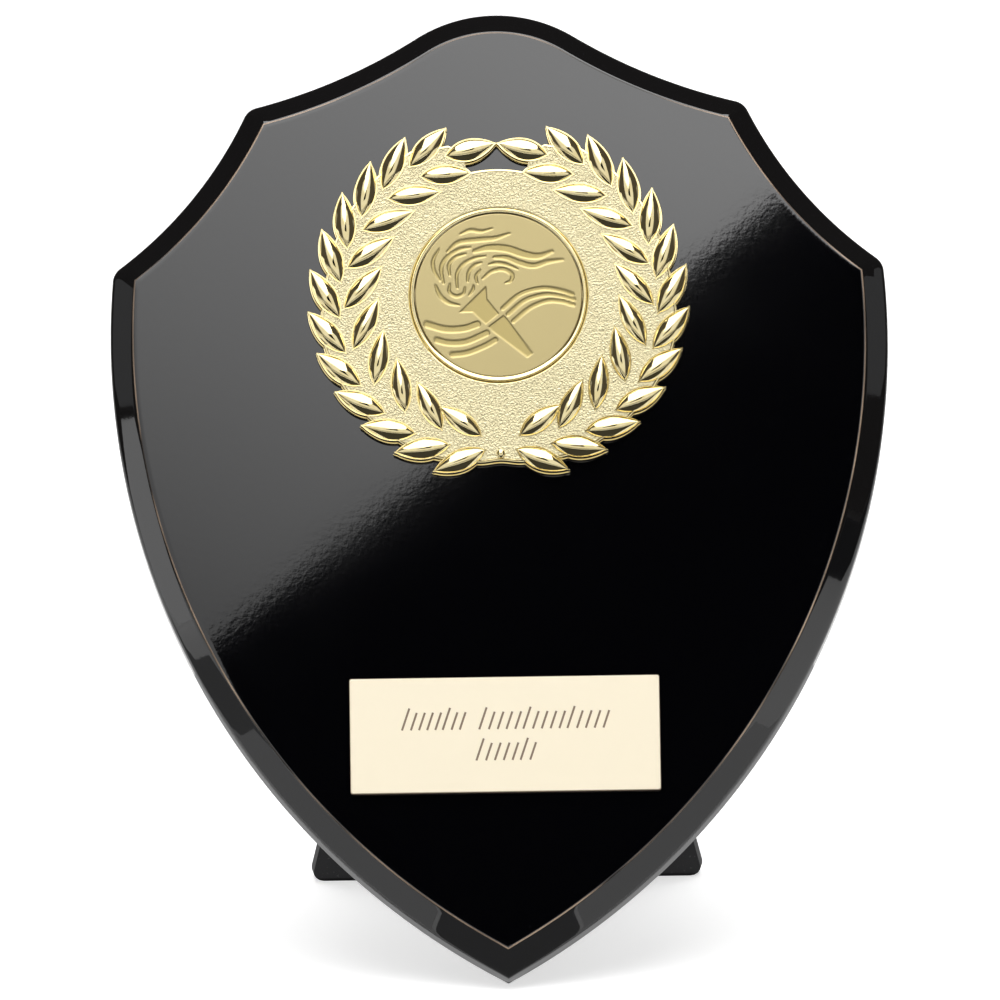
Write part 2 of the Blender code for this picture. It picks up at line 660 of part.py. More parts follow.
def build_leg(hinge, stand, leg_length, leg_lean, foot_y, plastic):
    """The strut's leg: barrel with pins, tapered plate with a sunk ribbed panel, heel and feet."""
    half = LEG_THICK / 2
    bm = bmesh.new()
    sections = []
    for depth in (-half, half):
        floor_line = -leg_length + depth * tan(leg_lean)
        outline = leg_outline(floor_line, 0.0, leg_length, 0.0, LEG_CORNER)
        sections.append([(x, y, depth) for x, y in outline])
    add_loft(bm, sections)
    leg = place("strut_leg", mesh_from(bm, "strut_leg"), hinge, plastic)
    barrel = cylinder("barrel", BARREL_RADIUS, -BARREL_HALF, BARREL_HALF)
    boolean(leg, tool("barrel", across_board(barrel), hinge), "UNION")
    pin_reach = BARREL_HALF + GAP + LUG_THICK
    pins = cylinder("pins", PIN_RADIUS, -pin_reach, pin_reach, sides=16)
    boolean(leg, tool("pins", across_board(pins), hinge), "UNION")
    heel = prism("heel", [(-HEEL_HALF, -HEEL_BELOW), (HEEL_HALF, -HEEL_BELOW), (HEEL_HALF, HEEL_LENGTH),
                          (-HEEL_HALF, HEEL_LENGTH)], -half, 0)
    boolean(leg, tool("heel", heel, hinge), "UNION")
    panel_low = -leg_length + half * tan(leg_lean) + LEG_RIM_FOOT
    panel = prism("panel", leg_outline(panel_low, -LEG_RIM_TOP, leg_length, LEG_RIM, LEG_PANEL_CORNER),
                  half - PANEL_DEPTH, half + MM)
    boolean(leg, tool("panel", panel, hinge), "DIFFERENCE")
    ribs = bmesh.new()
    ends = []
    for end in (panel_low - MM, -LEG_RIM_TOP + MM):
        ends.append((LEG_FOOT_WIDTH / 2 - (end + leg_length) * tan(LEG_TAPER) - LEG_RIM, end))
    for k in range(1, RIB_COUNT + 1):
        place_across = -1 + 2 * k / (RIB_COUNT + 1)
        route = [(spread * place_across / MM, end / MM) for spread, end in ends]
        add_prism(ribs, ribbon(route, (RIB_WIDTH / MM, RIB_WIDTH / MM), 1), 0, half - PANEL_DEPTH + RIB_RISE)
    boolean(leg, tool("ribs", mesh_from(ribs, "ribs"), hinge), "UNION")
    turns = [2 * pi * k / 16 for k in range(16)]
    arch = prism("foot_arch", [(FOOT_ARCH_WIDTH / 2 * cos(t), FOOT_ARCH_RISE * sin(t)) for t in turns],
                 -LEG_THICK * 2, LEG_THICK * 2)
    arch.transform(Matrix.Rotation(pi / 2, 4, "X"))
    arch_cut = tool("foot_arch", arch, stand)
    arch_cut.location.y = foot_y
    boolean(leg, arch_cut, "DIFFERENCE")


def main():
    """Build the plaque, lean it back on its point and its strut, and centre it on the floor."""
    lacquer = material("black_lacquer", (0.008, 0.008, 0.009), 0.12)
    bright_gold = material("gilt_moulding", (0.83, 0.69, 0.33), 0.18, 1.0)
    pressed_gold = material("pressed_gold", (0.72, 0.62, 0.36), 0.3, 1.0)
    plate_gold = material("plate_gold", (0.9, 0.8, 0.55), 0.35, 1.0)
    plastic = material("black_plastic", (0.015, 0.015, 0.016), 0.4)
    steel = material("zinc_steel", (0.6, 0.6, 0.62), 0.35, 1.0)

    stand = frame("stand_point", None, (0, 0, 0), 0)
    leaning = frame("board_frame", stand, (0, 0, BOARD_THICK * sin(LEAN) - POINT_FLAT), pi / 2 - LEAN)
    wreath_middle = frame("wreath_middle", leaning, (0, WREATH_UP, 0), 0)
    plate_middle = frame("plate_middle", leaning, (0, PLATE_UP, 0), 0)

    point_back = BOARD_THICK * cos(LEAN)
    hinge_y = HINGE_UP * sin(LEAN) + HINGE_OUT * cos(LEAN)
    hinge_z = HINGE_UP * cos(LEAN) - HINGE_OUT * sin(LEAN) + leaning.location.z
    foot_y = point_back + FOOT_BACK
    leg_lean = atan2(foot_y - hinge_y, hinge_z)
    leg_length = hypot(foot_y - hinge_y, hinge_z)
    hinge = frame("strut_hinge", leaning, (0, HINGE_UP, -HINGE_OUT), LEAN + leg_lean)

    board = build_board(leaning, lacquer)
    build_wreath(wreath_middle, bright_gold)
    build_centre(wreath_middle, pressed_gold)
    build_plate(plate_middle, plate_gold)
    build_bracket(leaning, plastic)
    build_screws(leaning, steel)
    build_leg(hinge, stand, leg_length, leg_lean, foot_y, plastic)

    below = bmesh.new()
    bmesh.ops.create_cube(below, size=FLOOR_CUT, matrix=Matrix.Translation((0, 0, -FLOOR_CUT / 2)))
    boolean(board, tool("floor_cut", mesh_from(below, "floor_cut"), stand), "DIFFERENCE")

    bpy.context.view_layer.update()
    view = bpy.context.evaluated_depsgraph_get()
    depths = []
    for piece in plaque.objects:
        if piece.type == "MESH":
            solid = piece.evaluated_get(view)
            depths += [(piece.matrix_world @ vertex.co).y for vertex in solid.data.vertices]
    stand.location.y = -(min(depths) + max(depths)) / 2
    bpy.context.view_layer.update()


clear_scene()
plaque = bpy.data.collections.new("award_shield_plaque")
tools = bpy.data.collections.new("tools")
bpy.context.scene.collection.children.link(plaque)
bpy.context.scene.collection.children.link(tools)
main()
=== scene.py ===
"""The award shield plaque, dressed for the photograph: lacquer, gilt wreath, pressed centre and strut.

The board, wreath and centre are drawn in the board's own frame, x across, y up the board from its
point and z out of its face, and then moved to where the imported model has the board. The leg, bracket
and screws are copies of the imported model's own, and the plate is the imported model's.
"""

import json
from math import cos, hypot, pi, radians, sin, sqrt

import bmesh
import bpy
import numpy as np
from mathutils import Matrix, Quaternion, Vector


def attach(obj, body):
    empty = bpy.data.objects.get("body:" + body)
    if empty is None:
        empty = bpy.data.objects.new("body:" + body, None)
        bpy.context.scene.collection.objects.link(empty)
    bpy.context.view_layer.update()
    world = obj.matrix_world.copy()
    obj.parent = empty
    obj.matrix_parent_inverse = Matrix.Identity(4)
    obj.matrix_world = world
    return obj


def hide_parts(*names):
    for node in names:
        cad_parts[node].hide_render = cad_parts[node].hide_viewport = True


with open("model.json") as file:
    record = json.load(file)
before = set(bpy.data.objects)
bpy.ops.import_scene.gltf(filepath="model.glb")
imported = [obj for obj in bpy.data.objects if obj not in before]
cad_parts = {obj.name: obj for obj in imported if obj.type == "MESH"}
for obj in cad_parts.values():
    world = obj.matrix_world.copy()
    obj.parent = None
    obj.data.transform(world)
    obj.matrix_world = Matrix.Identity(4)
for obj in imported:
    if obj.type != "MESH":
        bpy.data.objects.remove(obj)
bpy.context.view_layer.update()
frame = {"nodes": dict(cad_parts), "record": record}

MM = 0.001
GAP = 0.3 * MM

# Points nearer than these are merged, in drawn pieces and in copies of CAD nodes
MERGE = 0.0005 * MM
NODE_MERGE = 0.002 * MM

# Edges that turn more than these stay sharp
BOARD_SHARP = radians(28.0)
WREATH_SHARP = radians(38.0)
LEAF_SHARP = radians(50.0)
CENTRE_SHARP = radians(60.0)
NODE_SHARP = radians(32.0)

# Copies of CAD nodes: faces this near to one plane are joined, and edges are rounded this wide
NODE_FLAT = radians(0.5)
LEG_ROUND = 0.18 * MM
BRACKET_ROUND = 0.15 * MM
SCREW_ROUND = 0.08 * MM

# Board
BOARD_LENGTH = 150.0 * MM
BOARD_THICK = 9.0 * MM
BEVEL_WIDTH = 3.5 * MM
BEVEL_DEPTH = 3.2 * MM
FACE_ROUND = 0.25 * MM
ARRIS_ROUND = 0.62 * MM
BACK_ROUND = 0.35 * MM
LEAN = radians(23.0)
HINGE_UP = 85.0 * MM
HINGE_OUT = 14.4 * MM

# The bands of the board's profile, counted from the middle of the face, that carry a painted highlight: a
# paler line coloured into the rounded edge between face and bevel
EDGE_HIGHLIGHT_BANDS = (2, 3)

# How many short steps round each rounded edge of the board's profile
FACE_STEPS = 4
ARRIS_STEPS = 5
BACK_STEPS = 3

# Half of the board's outline from the middle of the top down to the point, as arcs that run
# into each other: radius in millimetres, degrees turned, and how many straight pieces
ARCH = (22.6, 32.05, 20)
OGEE = (-86.9, 17.85, 20)
SHOULDER_CORNER = (2.8, 50.0, 12)
SCALLOP = (-64.0, 27.4, 22)
SIDE_CORNER = (2.9, 48.2, 12)
SIDE = (112.4, 66.97, 70)
HALF_OUTLINE = (ARCH, OGEE, SHOULDER_CORNER, SCALLOP, SIDE_CORNER, SIDE)

# Wreath moulding, measured from the middle of its recess
WREATH_UP = 104.9 * MM
GROUND_TOP = 1.9 * MM
FIELD_RADIUS = 19.7 * MM
OPENING_CORNER = 20.6 * MM
GROUND_EDGE = ((13.2, 22.6), (18.0, 24.7), (30.0, 26.2), (80.0, 26.4), (108.0, 27.8), (152.0, 27.4),
               (172.0, 26.3), (180.0, 25.8))
RIM_RISE = 0.07 * MM
RIM_WIDTH = 0.38 * MM
RING_OUTER = 13.4 * MM
RING_TOP = 2.20 * MM
RING_LIP = 2.06 * MM
RING_GROOVE = 0.14 * MM
RECESS_RADIUS = 12.8 * MM
RECESS_FLOOR = 1.1 * MM
LEAF_RISE = 0.78 * MM
LEDGE_RISE = 0.03 * MM
BEAD_RISE = 0.10 * MM
LEAF_MARGIN_ALONG = 0.055
LEAF_MARGIN_ACROSS = 0.07
FOOT_RISE = 0.25 * MM
FOOT_WIDTH = 0.17 * MM
FOOT_SHOULDER = 0.6
FOOT_TOP = 0.7
LEAF_FOOT_ALONG = 0.02
LEAF_FOOT_ACROSS = 0.06
LEAF_STATIONS = 26
POD_STEPS = 8
EDGE_STEPS = 240
OPENING_STEPS = 16
KNOT_SIZE = (0.65 * MM, 0.75 * MM, 0.45 * MM)
KNOT_DOWN = 24.7 * MM
KNOT_SIDES = 24
KNOT_RINGS = 12

# The moulding's edge as (inset, height), from its foot over its rim to the ground, and then its
# ring as (radius, height), from the ground over the groove and the ring down into the recess
RIM_TOP = GROUND_TOP + RIM_RISE
EDGE_PROFILE = ((-FOOT_WIDTH, GAP), (-FOOT_WIDTH, GAP + FOOT_RISE * FOOT_SHOULDER),
                (-FOOT_WIDTH * FOOT_TOP, GAP + FOOT_RISE), (0.0, GAP + FOOT_RISE),
                (0.0, RIM_TOP - 0.1 * MM), (0.03 * MM, RIM_TOP - 0.03 * MM), (0.1 * MM, RIM_TOP),
                (RIM_WIDTH - 0.08 * MM, RIM_TOP), (RIM_WIDTH, GROUND_TOP),
                (RIM_WIDTH + 0.1 * MM, GROUND_TOP))
RING_PROFILE = ((RING_OUTER + 0.55 * MM, GROUND_TOP), (RING_OUTER + 0.45 * MM, GROUND_TOP),
                (RING_OUTER + 0.22 * MM, GROUND_TOP - RING_GROOVE),
                (RING_OUTER + 0.08 * MM, GROUND_TOP - RING_GROOVE * 0.4),
                (RING_OUTER, RING_TOP - 0.1 * MM), (RING_OUTER - 0.06 * MM, RING_TOP - 0.02 * MM),
                (RING_OUTER - 0.14 * MM, RING_TOP), (RECESS_RADIUS + 0.06 * MM, RING_LIP + 0.02 * MM),
                (RECESS_RADIUS, RING_LIP - 0.04 * MM), (RECESS_RADIUS, RECESS_FLOOR),
                (RECESS_RADIUS / 2, RECESS_FLOOR))

# The bands of the moulding's profile, counted from its foot, that are stippled ground
STIPPLED_BANDS = (8, 9, 10)

# Leaves of the right branch. An end is (degrees from the top, millimetres from the middle), and a
# row is how many leaves it has, the angle of its first root and the pitch from root to root.
TOP_LEAF_ROOT = (19.3, 23.2)
TOP_LEAF_TIP = (0.9, 23.7)
OUTER_ROW = (12, 32.9, 12.82)
OUTER_SWEEP = 16.0
OUTER_ROOTS_OUT = 24.3
OUTER_TIPS_OUT = 28.2
INNER_ROW = (10, 31.6, 15.6)
INNER_SWEEP = 19.5
INNER_ROOTS_OUT = 22.0
INNER_TIPS_OUT = 18.5
TOP_LEAF_WIDTH = 3.15 * MM
OUTER_LEAF_WIDTH = 3.05 * MM
INNER_LEAF_WIDTH = 2.85 * MM

# Pressed centre. The sunk torch's shapes are in millimetres from its middle, and each tongue of
# the flame and each band is its width and a few points along it.
CENTRE_RADIUS = 12.77 * MM
CENTRE_THICK = 0.6 * MM
CENTRE_EDGE = 0.1 * MM
CENTRE_RIM = 0.5 * MM
CENTRE_RINGS = 115
CENTRE_SIDES = 400
TORCH_DEPTH = 0.12 * MM
TORCH_WALL = 0.17
TONGUE_START = 0.12
TONGUE_SPAN = 0.8
TONGUE_FULLNESS = 0.7
STROKE_STATIONS = 36
CUP = ((-6.0, -2.6), (-4.0, -2.6), (-2.0, -4.5), (0.0, -2.9), (-1.8, -0.6), (-1.9, 1.4))
HANDLE = ((-1.6, -4.9), (0.7, -3.2), (1.3, -3.8), (5.1, -9.2), (4.3, -9.8), (-1.0, -5.6))
FLAME = ((0.5, ((-5.7, 9.6), (-4.2, 10.2), (-2.5, 10.0), (-0.8, 10.4))),
         (0.7, ((-7.7, 6.9), (-6.0, 8.3), (-2.8, 8.7), (-0.4, 8.9), (1.8, 9.6))),
         (1.1, ((-3.6, 6.9), (-1.4, 7.4), (1.4, 7.2), (4.0, 6.3), (6.2, 6.0), (8.3, 6.7))),
         (0.8, ((-0.6, 5.9), (1.3, 5.8), (3.3, 5.0), (5.4, 4.5), (7.6, 5.1), (9.9, 5.4))),
         (0.5, ((-1.4, 4.8), (-0.1, 5.0), (1.4, 4.7), (3.0, 4.0))),
         (0.6, ((-2.4, 2.6), (-1.0, 3.7), (0.8, 4.0), (2.1, 3.2), (1.9, 2.2), (1.1, 1.9))),
         (0.5, ((-8.9, 2.4), (-9.8, 4.0), (-9.9, 5.6), (-9.0, 7.3))),
         (0.6, ((-8.4, 2.0), (-8.7, 4.4), (-7.7, 6.1), (-5.9, 7.2), (-4.2, 7.5))),
         (0.5, ((-7.4, 3.2), (-7.5, 4.8), (-6.5, 6.0), (-4.9, 6.5))),
         (0.5, ((-6.3, 1.2), (-6.3, 3.4), (-5.3, 4.9), (-3.6, 5.8), (-1.9, 6.1))),
         (0.5, ((-4.7, 2.2), (-4.5, 3.6), (-3.6, 4.7), (-2.5, 5.1))),
         (0.4, ((-3.2, 1.9), (-3.4, 3.0), (-2.7, 4.0))),
         (0.6, ((-9.6, 1.6), (-8.9, 0.0), (-7.6, -1.1), (-6.0, -1.5))),
         (0.5, ((-7.4, 1.8), (-7.5, 0.6), (-6.5, -0.1), (-5.4, 0.3), (-5.1, 1.3))),
         (0.4, ((-4.5, 0.0), (-3.9, 0.9), (-3.8, 1.6))))
BANDS = ((1.0, ((-11.0, -4.4), (-8.2, -5.2), (-5.4, -5.15), (-3.3, -4.5))),
         (0.9, ((-9.5, -6.9), (-7.6, -7.35), (-5.0, -7.2), (-1.9, -5.9))),
         (0.8, ((-7.2, -9.2), (-4.8, -8.9), (-2.0, -7.8), (-0.6, -7.0))),
         (0.6, ((0.6, -2.1), (3.3, 0.1), (6.5, 0.95), (9.2, 0.65), (11.3, -0.05))),
         (0.6, ((1.4, -3.0), (4.0, -0.9), (7.0, -0.05), (9.3, -0.25), (11.5, -0.85))),
         (0.6, ((2.2, -4.1), (4.7, -2.1), (7.3, -1.05), (9.5, -1.1), (11.4, -1.65))))

# Engraving plate
PLATE_THICK = 0.6 * MM
STROKE_DEPTH = 0.12 * MM

# Camera, at the photograph's height and roll
CAMERA_AIM = Vector((0.0, 0.0, 0.07))
CAMERA_DISTANCE = 2.5
CAMERA_ELEVATION = radians(11.7)
CAMERA_ROLL = radians(0.85)
CAMERA_LENS = 587.0
CAMERA_SHIFT = (-0.0014, -0.0129)
CAMERA_REACH = 20.0

# The key soft box stands where the board mirrors the camera. The low right edge of its outline,
# in metres on the box, is what shows as the end of the grey sheen across the board's face.
KEY_PLACE = (0.0, -0.661, 0.531)
KEY_OUTLINE = ((-0.40, -0.303), (0.36, 0.275), (0.36, 0.55), (-0.40, 0.55))
KEY_LEVELS = (0.90, 2.75)
KEY_FADE = (-0.06, 0.07)
KEY_FADE_TURN = radians(25.0)
LIGHT_AIM = (0.0, 0.0, 0.08)

# The other soft boxes: name, place, aim, width and height in metres, and level
SOFT_BOXES = (("black_flag", (0.0, -0.78, 0.61), LIGHT_AIM, (0.36, 0.40), 0.0),
              ("middle_fill", (0.0, -0.95, 0.74), LIGHT_AIM, (2.0, 1.24), 0.9),
              ("top_box", (0.0, -0.1, 1.3), (0.0, -0.1, 0.0), (1.4, 1.2), 3.4),
              ("front_fill", (0.0, -1.6, 0.62), LIGHT_AIM, (3.4, 1.2), 0.5),
              ("left_strip", (-0.4, -0.065, 0.063), (0.0, -0.02, 0.063), (0.09, 0.125), 1.35),
              ("side_panel", (-1, 0.05, 0.36), LIGHT_AIM, (0.26, 0.29), 0.33),
              ("side_panel", (1, 0.05, 0.36), LIGHT_AIM, (0.26, 0.29), 0.33))

# Cards on the floor that show only in gloss, as painted reflections of lighter and darker floor: name,
# outline in metres, and level
CARD_RISE = 0.5 * MM
NEAR_CARD = ((0.017, -0.037), (0.031, -0.06), (0.15, -0.09), (0.15, -0.037))
FLOOR_CARDS = (("point_card", ((-0.016, -0.037), (-0.03, -0.06), (0.03, -0.06), (0.016, -0.037)), 0.22),
               ("front_card", ((-0.03, -0.06), (-0.75, -0.6), (0.75, -0.6), (0.03, -0.06)), 0.05),
               ("under_card", ((-0.004, -0.038), (0.004, -0.038), (0.16, 0.14), (-0.16, 0.14)), 0.4),
               ("near_card", tuple((-x, y) for x, y in NEAR_CARD), 0.72),
               ("near_card", NEAR_CARD, 0.72),
               ("left_card", ((-0.28, 0.0), (-0.28, -0.14), (-0.15, -0.12), (-0.15, 0.0)), 0.30),
               ("right_card", ((0.62, 0.4), (0.62, -1.2), (3.0, -2.4), (3.0, 0.4)), 0.06))

# Floor and room. The floor glows a little of its own, and more where the camera sees it.
FLOOR_REACH = 6
FLOOR_SHADE = (0.86, 0.86, 0.86)
FLOOR_GLOW = 0.03
FLOOR_SEEN_GLOW = 0.6
ROOM_DARK = (0.075, 0.069, 0.064)
ROOM_SEEN = (0.95, 0.95, 0.95)

# Colours
WHITE = (1.0, 1.0, 1.0)
BLACK = (0.0, 0.0, 0.0)
LACQUER = (0.001, 0.001, 0.0015)
LACQUER_DUST = (0.25, 0.25, 0.25)
# Painted highlight: the paler line coloured into the rounded edge round the board's face
EDGE_HIGHLIGHT = (0.2, 0.14, 0.10)
EDGE_HIGHLIGHT_DARK = (0.02, 0.015, 0.012)
EDGE_HIGHLIGHT_PALE = (0.36, 0.26, 0.185)
GILT = (0.90, 0.77, 0.42)
GILT_DEEP = (0.87, 0.73, 0.38)
GILT_PALE = (0.92, 0.80, 0.46)
STIPPLE = (0.76, 0.68, 0.43)
STIPPLE_DEEP = (0.68, 0.60, 0.36)
STIPPLE_PALE = (0.80, 0.72, 0.46)
PRESSED_GOLD = (0.48, 0.40, 0.20)
# The darker gold is painted shade in the hollows of the sunk torch
PRESSED_GOLD_PAINTED_SHADE = (0.45, 0.365, 0.155)
PLATE_GOLD = (0.92, 0.83, 0.64)
STROKE_BROWN = (0.25, 0.18, 0.12)
PLASTIC = (0.016, 0.016, 0.018)
PLASTIC_DUST = (0.2, 0.2, 0.2)
ZINC = (0.62, 0.62, 0.64)
ZINC_DULL = (0.55, 0.55, 0.58)
ZINC_BRIGHT = (0.68, 0.68, 0.70)

# Shared effects. A scale is in waves to the metre, and a range is the part of the noise that counts.
FINER_GRAIN = 3.1
SHADE_RANGE = (0.35, 0.65)
SMUDGE_SCALE = 28.0
SMUDGE_RANGE = (0.42, 0.68)
SPECK_SCALE = 2600.0
SPECK_RANGE = (0.73, 0.80)


# The board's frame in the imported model

turn = Matrix.Rotation(pi / 2 - LEAN, 4, "X")
hinge_place = Vector(frame["record"]["behaviour"]["joints"][0]["pos_m"])
ON_BOARD = Matrix.Translation(hinge_place - turn @ Vector((0, HINGE_UP, -HINGE_OUT))) @ turn
ON_WREATH = ON_BOARD @ Matrix.Translation((0, WREATH_UP, 0))


# Mesh helpers

def add_piece(name, mesh, body, slot, *replaced):
    """A finished piece that rides on a body, in place of CAD nodes."""
    piece = bpy.data.objects.new(name, mesh)
    bpy.context.scene.collection.objects.link(piece)
    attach(piece, body)
    if replaced:
        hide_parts(*replaced)
    return piece


def smooth_mesh(bm, name, place, sharp):
    """Close a bmesh, move it to its place and smooth it up to an angle."""
    bmesh.ops.remove_doubles(bm, verts=bm.verts, dist=MERGE)
    bmesh.ops.dissolve_degenerate(bm, edges=bm.edges, dist=MERGE)
    bmesh.ops.recalc_face_normals(bm, faces=bm.faces)
    mesh = bpy.data.meshes.new(name)
    bm.to_mesh(mesh)
    bm.free()
    mesh.transform(place)
    mesh.shade_smooth()
    mesh.set_sharp_from_angle(angle=sharp)
    return mesh


def band_finishes(sections, second):
    """The finish index of each band between sections: 1 for those that take the second finish."""
    return [int(band in second) for band in range(len(sections) - 1)]


def add_loft(bm, sections, finishes=None):
    """Skin closed sections of equal count and cap them. Each band may be given a finish index."""
    rows = [[bm.verts.new(point) for point in section] for section in sections]
    for band, (upper, lower) in enumerate(zip(rows, rows[1:])):
        for i in range(len(upper)):
            j = (i + 1) % len(upper)
            face = bm.faces.new((upper[i], lower[i], lower[j], upper[j]))
            face.material_index = finishes[band] if finishes else 0
    bm.faces.new(rows[0])
    bm.faces.new(reversed(rows[-1]))


# The board

def board_stations():
    """Points down one half of the outline, each with its outward heading and its arc."""
    at = Vector((0.0, BOARD_LENGTH))
    heading = 0.0
    stations = [(at.copy(), heading, 0)]
    centres = []
    for index, (radius, bend_degrees, pieces) in enumerate(HALF_OUTLINE):
        size = abs(radius) * MM
        bend = 1 if radius > 0 else -1
        out = Vector((sin(heading), cos(heading)))
        centre = at - out * size * bend
        centres.append(centre)
        start = heading
        for k in range(1, pieces + 1):
            heading = start + bend * radians(bend_degrees) * k / pieces
            at = centre + Vector((sin(heading), cos(heading))) * size * bend
            stations.append((at.copy(), heading, index))
    stations[-1] = (Vector((0.0, 0.0)), stations[-1][1], stations[-1][2])
    return stations, centres


def circles_meet(centre_a, radius_a, centre_b, radius_b, near):
    """The meeting point of two circles that is nearer to a given point."""
    across = centre_b - centre_a
    apart = across.length
    along = (apart ** 2 + radius_a ** 2 - radius_b ** 2) / (2 * apart)
    aside = sqrt(max(radius_a ** 2 - along ** 2, 0))
    way = across / apart
    square = Vector((-way.y, way.x))
    options = [centre_a + way * along + square * aside * side for side in (1, -1)]
    return min(options, key=lambda point: (point - near).length)


def board_outline(inset):
    """The whole outline, moved inwards, with mitred corners where it passes a corner's radius."""
    stations, centres = board_stations()
    names = list(HALF_OUTLINE)
    ogee, shoulder, scallop, corner, side = (names.index(arc) for arc in
                                             (OGEE, SHOULDER_CORNER, SCALLOP, SIDE_CORNER, SIDE))
    ogee_radius = abs(OGEE[0]) * MM + inset
    scallop_radius = abs(SCALLOP[0]) * MM + inset
    side_radius = SIDE[0] * MM - inset
    shoulder_at = next(at for at, _, index in stations if index == shoulder)
    corner_at = next(at for at, _, index in stations if index == corner)
    upper_mitre = circles_meet(centres[ogee], ogee_radius, centres[scallop], scallop_radius, shoulder_at)
    lower_mitre = circles_meet(centres[scallop], scallop_radius, centres[side], side_radius, corner_at)
    half = []
    for at, heading, index in stations:
        point = at - Vector((sin(heading), cos(heading))) * inset
        if inset > SHOULDER_CORNER[0] * MM:
            past = (index == ogee and point.x > upper_mitre.x) or index == shoulder
            if past or (index == scallop and point.y > upper_mitre.y):
                point = upper_mitre
        if inset > SIDE_CORNER[0] * MM:
            past = (index == scallop and point.x > lower_mitre.x) or index == corner
            if past or (index == side and point.y > lower_mitre.y):
                point = lower_mitre
        if index == side and point.x <= 0:
            point = Vector((0.0, inset / abs(cos(stations[-1][1]))))
        half.append((max(point.x, 0.0), point.y))
    return half + [(-x, y) for x, y in reversed(half[1:-1])]


def board_profile():
    """Inset and height of each line round the board, from its face over the bevel to its back."""
    slope = hypot(BEVEL_WIDTH, BEVEL_DEPTH)
    across, down = BEVEL_WIDTH / slope, BEVEL_DEPTH / slope
    profile = [(BEVEL_WIDTH + FACE_ROUND * 3, 0.0), (BEVEL_WIDTH + FACE_ROUND, 0.0)]
    for k in range(1, FACE_STEPS):
        part = k / FACE_STEPS
        rounding = FACE_ROUND * (1 - part)
        profile.append((BEVEL_WIDTH + rounding - FACE_ROUND * part * across,
                        -FACE_ROUND * part * part * down))
    profile.append((BEVEL_WIDTH - FACE_ROUND * across, -FACE_ROUND * down))
    profile.append((BEVEL_WIDTH - FACE_ROUND * 3 * across, -FACE_ROUND * 3 * down))
    profile.append((ARRIS_ROUND * 2 * across, -BEVEL_DEPTH + ARRIS_ROUND * 2 * down))
    for k in range(ARRIS_STEPS + 1):
        part = k / ARRIS_STEPS
        profile.append((ARRIS_ROUND * across * (1 - part) ** 2,
                        -BEVEL_DEPTH + ARRIS_ROUND * (down * (1 - part) ** 2 - part ** 2)))
    profile.append((0.0, -BEVEL_DEPTH - ARRIS_ROUND * 1.6))
    profile.append((0.0, -BOARD_THICK + BACK_ROUND * 2))
    for k in range(BACK_STEPS + 1):
        part = k / BACK_STEPS
        profile.append((BACK_ROUND * part ** 2, -BOARD_THICK + BACK_ROUND * (1 - part) ** 2))
    return profile


def make_board(lacquer, highlight_finish):
    """The lacquered board, with its point resting flat on the floor and a painted highlight, a paler line,
    coloured along the rounded edge round its face.
    """
    bm = bmesh.new()
    lines = [[(x, y, height) for x, y in board_outline(inset)] for inset, height in board_profile()]
    add_loft(bm, lines, band_finishes(lines, EDGE_HIGHLIGHT_BANDS))
    mesh = smooth_mesh(bm, "lacquered_board", ON_BOARD, BOARD_SHARP)
    for vertex in mesh.vertices:
        vertex.co.z = max(vertex.co.z, 0.0)
    mesh.materials.append(lacquer)
    # The second finish is the painted highlight on the face's rounded edge
    mesh.materials.append(highlight_finish)
    return add_piece("lacquered_board", mesh, "plaque", "black_lacquer", "shield_board")


# The wreath moulding

def polar(angle, radius):
    """A point on the wreath: angle in degrees from the top towards +X, radius from its middle."""
    around = radians(angle)
    return Vector((radius * sin(around), radius * cos(around)))


def blend(stations, value):
    """Read a smooth value between stations of (place, value)."""
    for (low, low_value), (high, high_value) in zip(stations, stations[1:]):
        if value <= high:
            part = max(0.0, (value - low) / (high - low))
            part = part * part * (3 - 2 * part)
            return low_value + (high_value - low_value) * part
    return stations[-1][1]


def wreath_leaves():
    """Root, tip and width of each leaf on the right branch."""
    leaves = [(polar(TOP_LEAF_ROOT[0], TOP_LEAF_ROOT[1] * MM),
               polar(TOP_LEAF_TIP[0], TOP_LEAF_TIP[1] * MM), TOP_LEAF_WIDTH)]
    count, first, pitch = OUTER_ROW
    for k in range(count):
        root = first + pitch * k
        tip = root - OUTER_SWEEP + 1.8 * k / (count - 1)
        root_out = OUTER_ROOTS_OUT + 1.1 * max(0.0, sin(pi * (k - 4.5) / 6))
        tip_out = OUTER_TIPS_OUT + 0.8 * min(k / 6, 1) - (1.0 if k == 0 else 0.0)
        leaves.append((polar(root, root_out * MM), polar(tip, tip_out * MM), OUTER_LEAF_WIDTH))
    count, first, pitch = INNER_ROW
    last = count - 1
    for k in range(count):
        root = first + pitch * k
        tip = root - INNER_SWEEP + 1.5 * sin(pi * k / last)
        root_out = INNER_ROOTS_OUT + 1.6 * sin(pi * k / last)
        tip_out = INNER_TIPS_OUT + (1.1 if k in (0, last) else 0.0)
        leaves.append((polar(root, root_out * MM), polar(tip, tip_out * MM), INNER_LEAF_WIDTH))
    return leaves


def leaf_fullness(part):
    """How wide a leaf is along its length, as a share of its widest place."""
    return sin(pi * part ** 0.9) ** 0.8


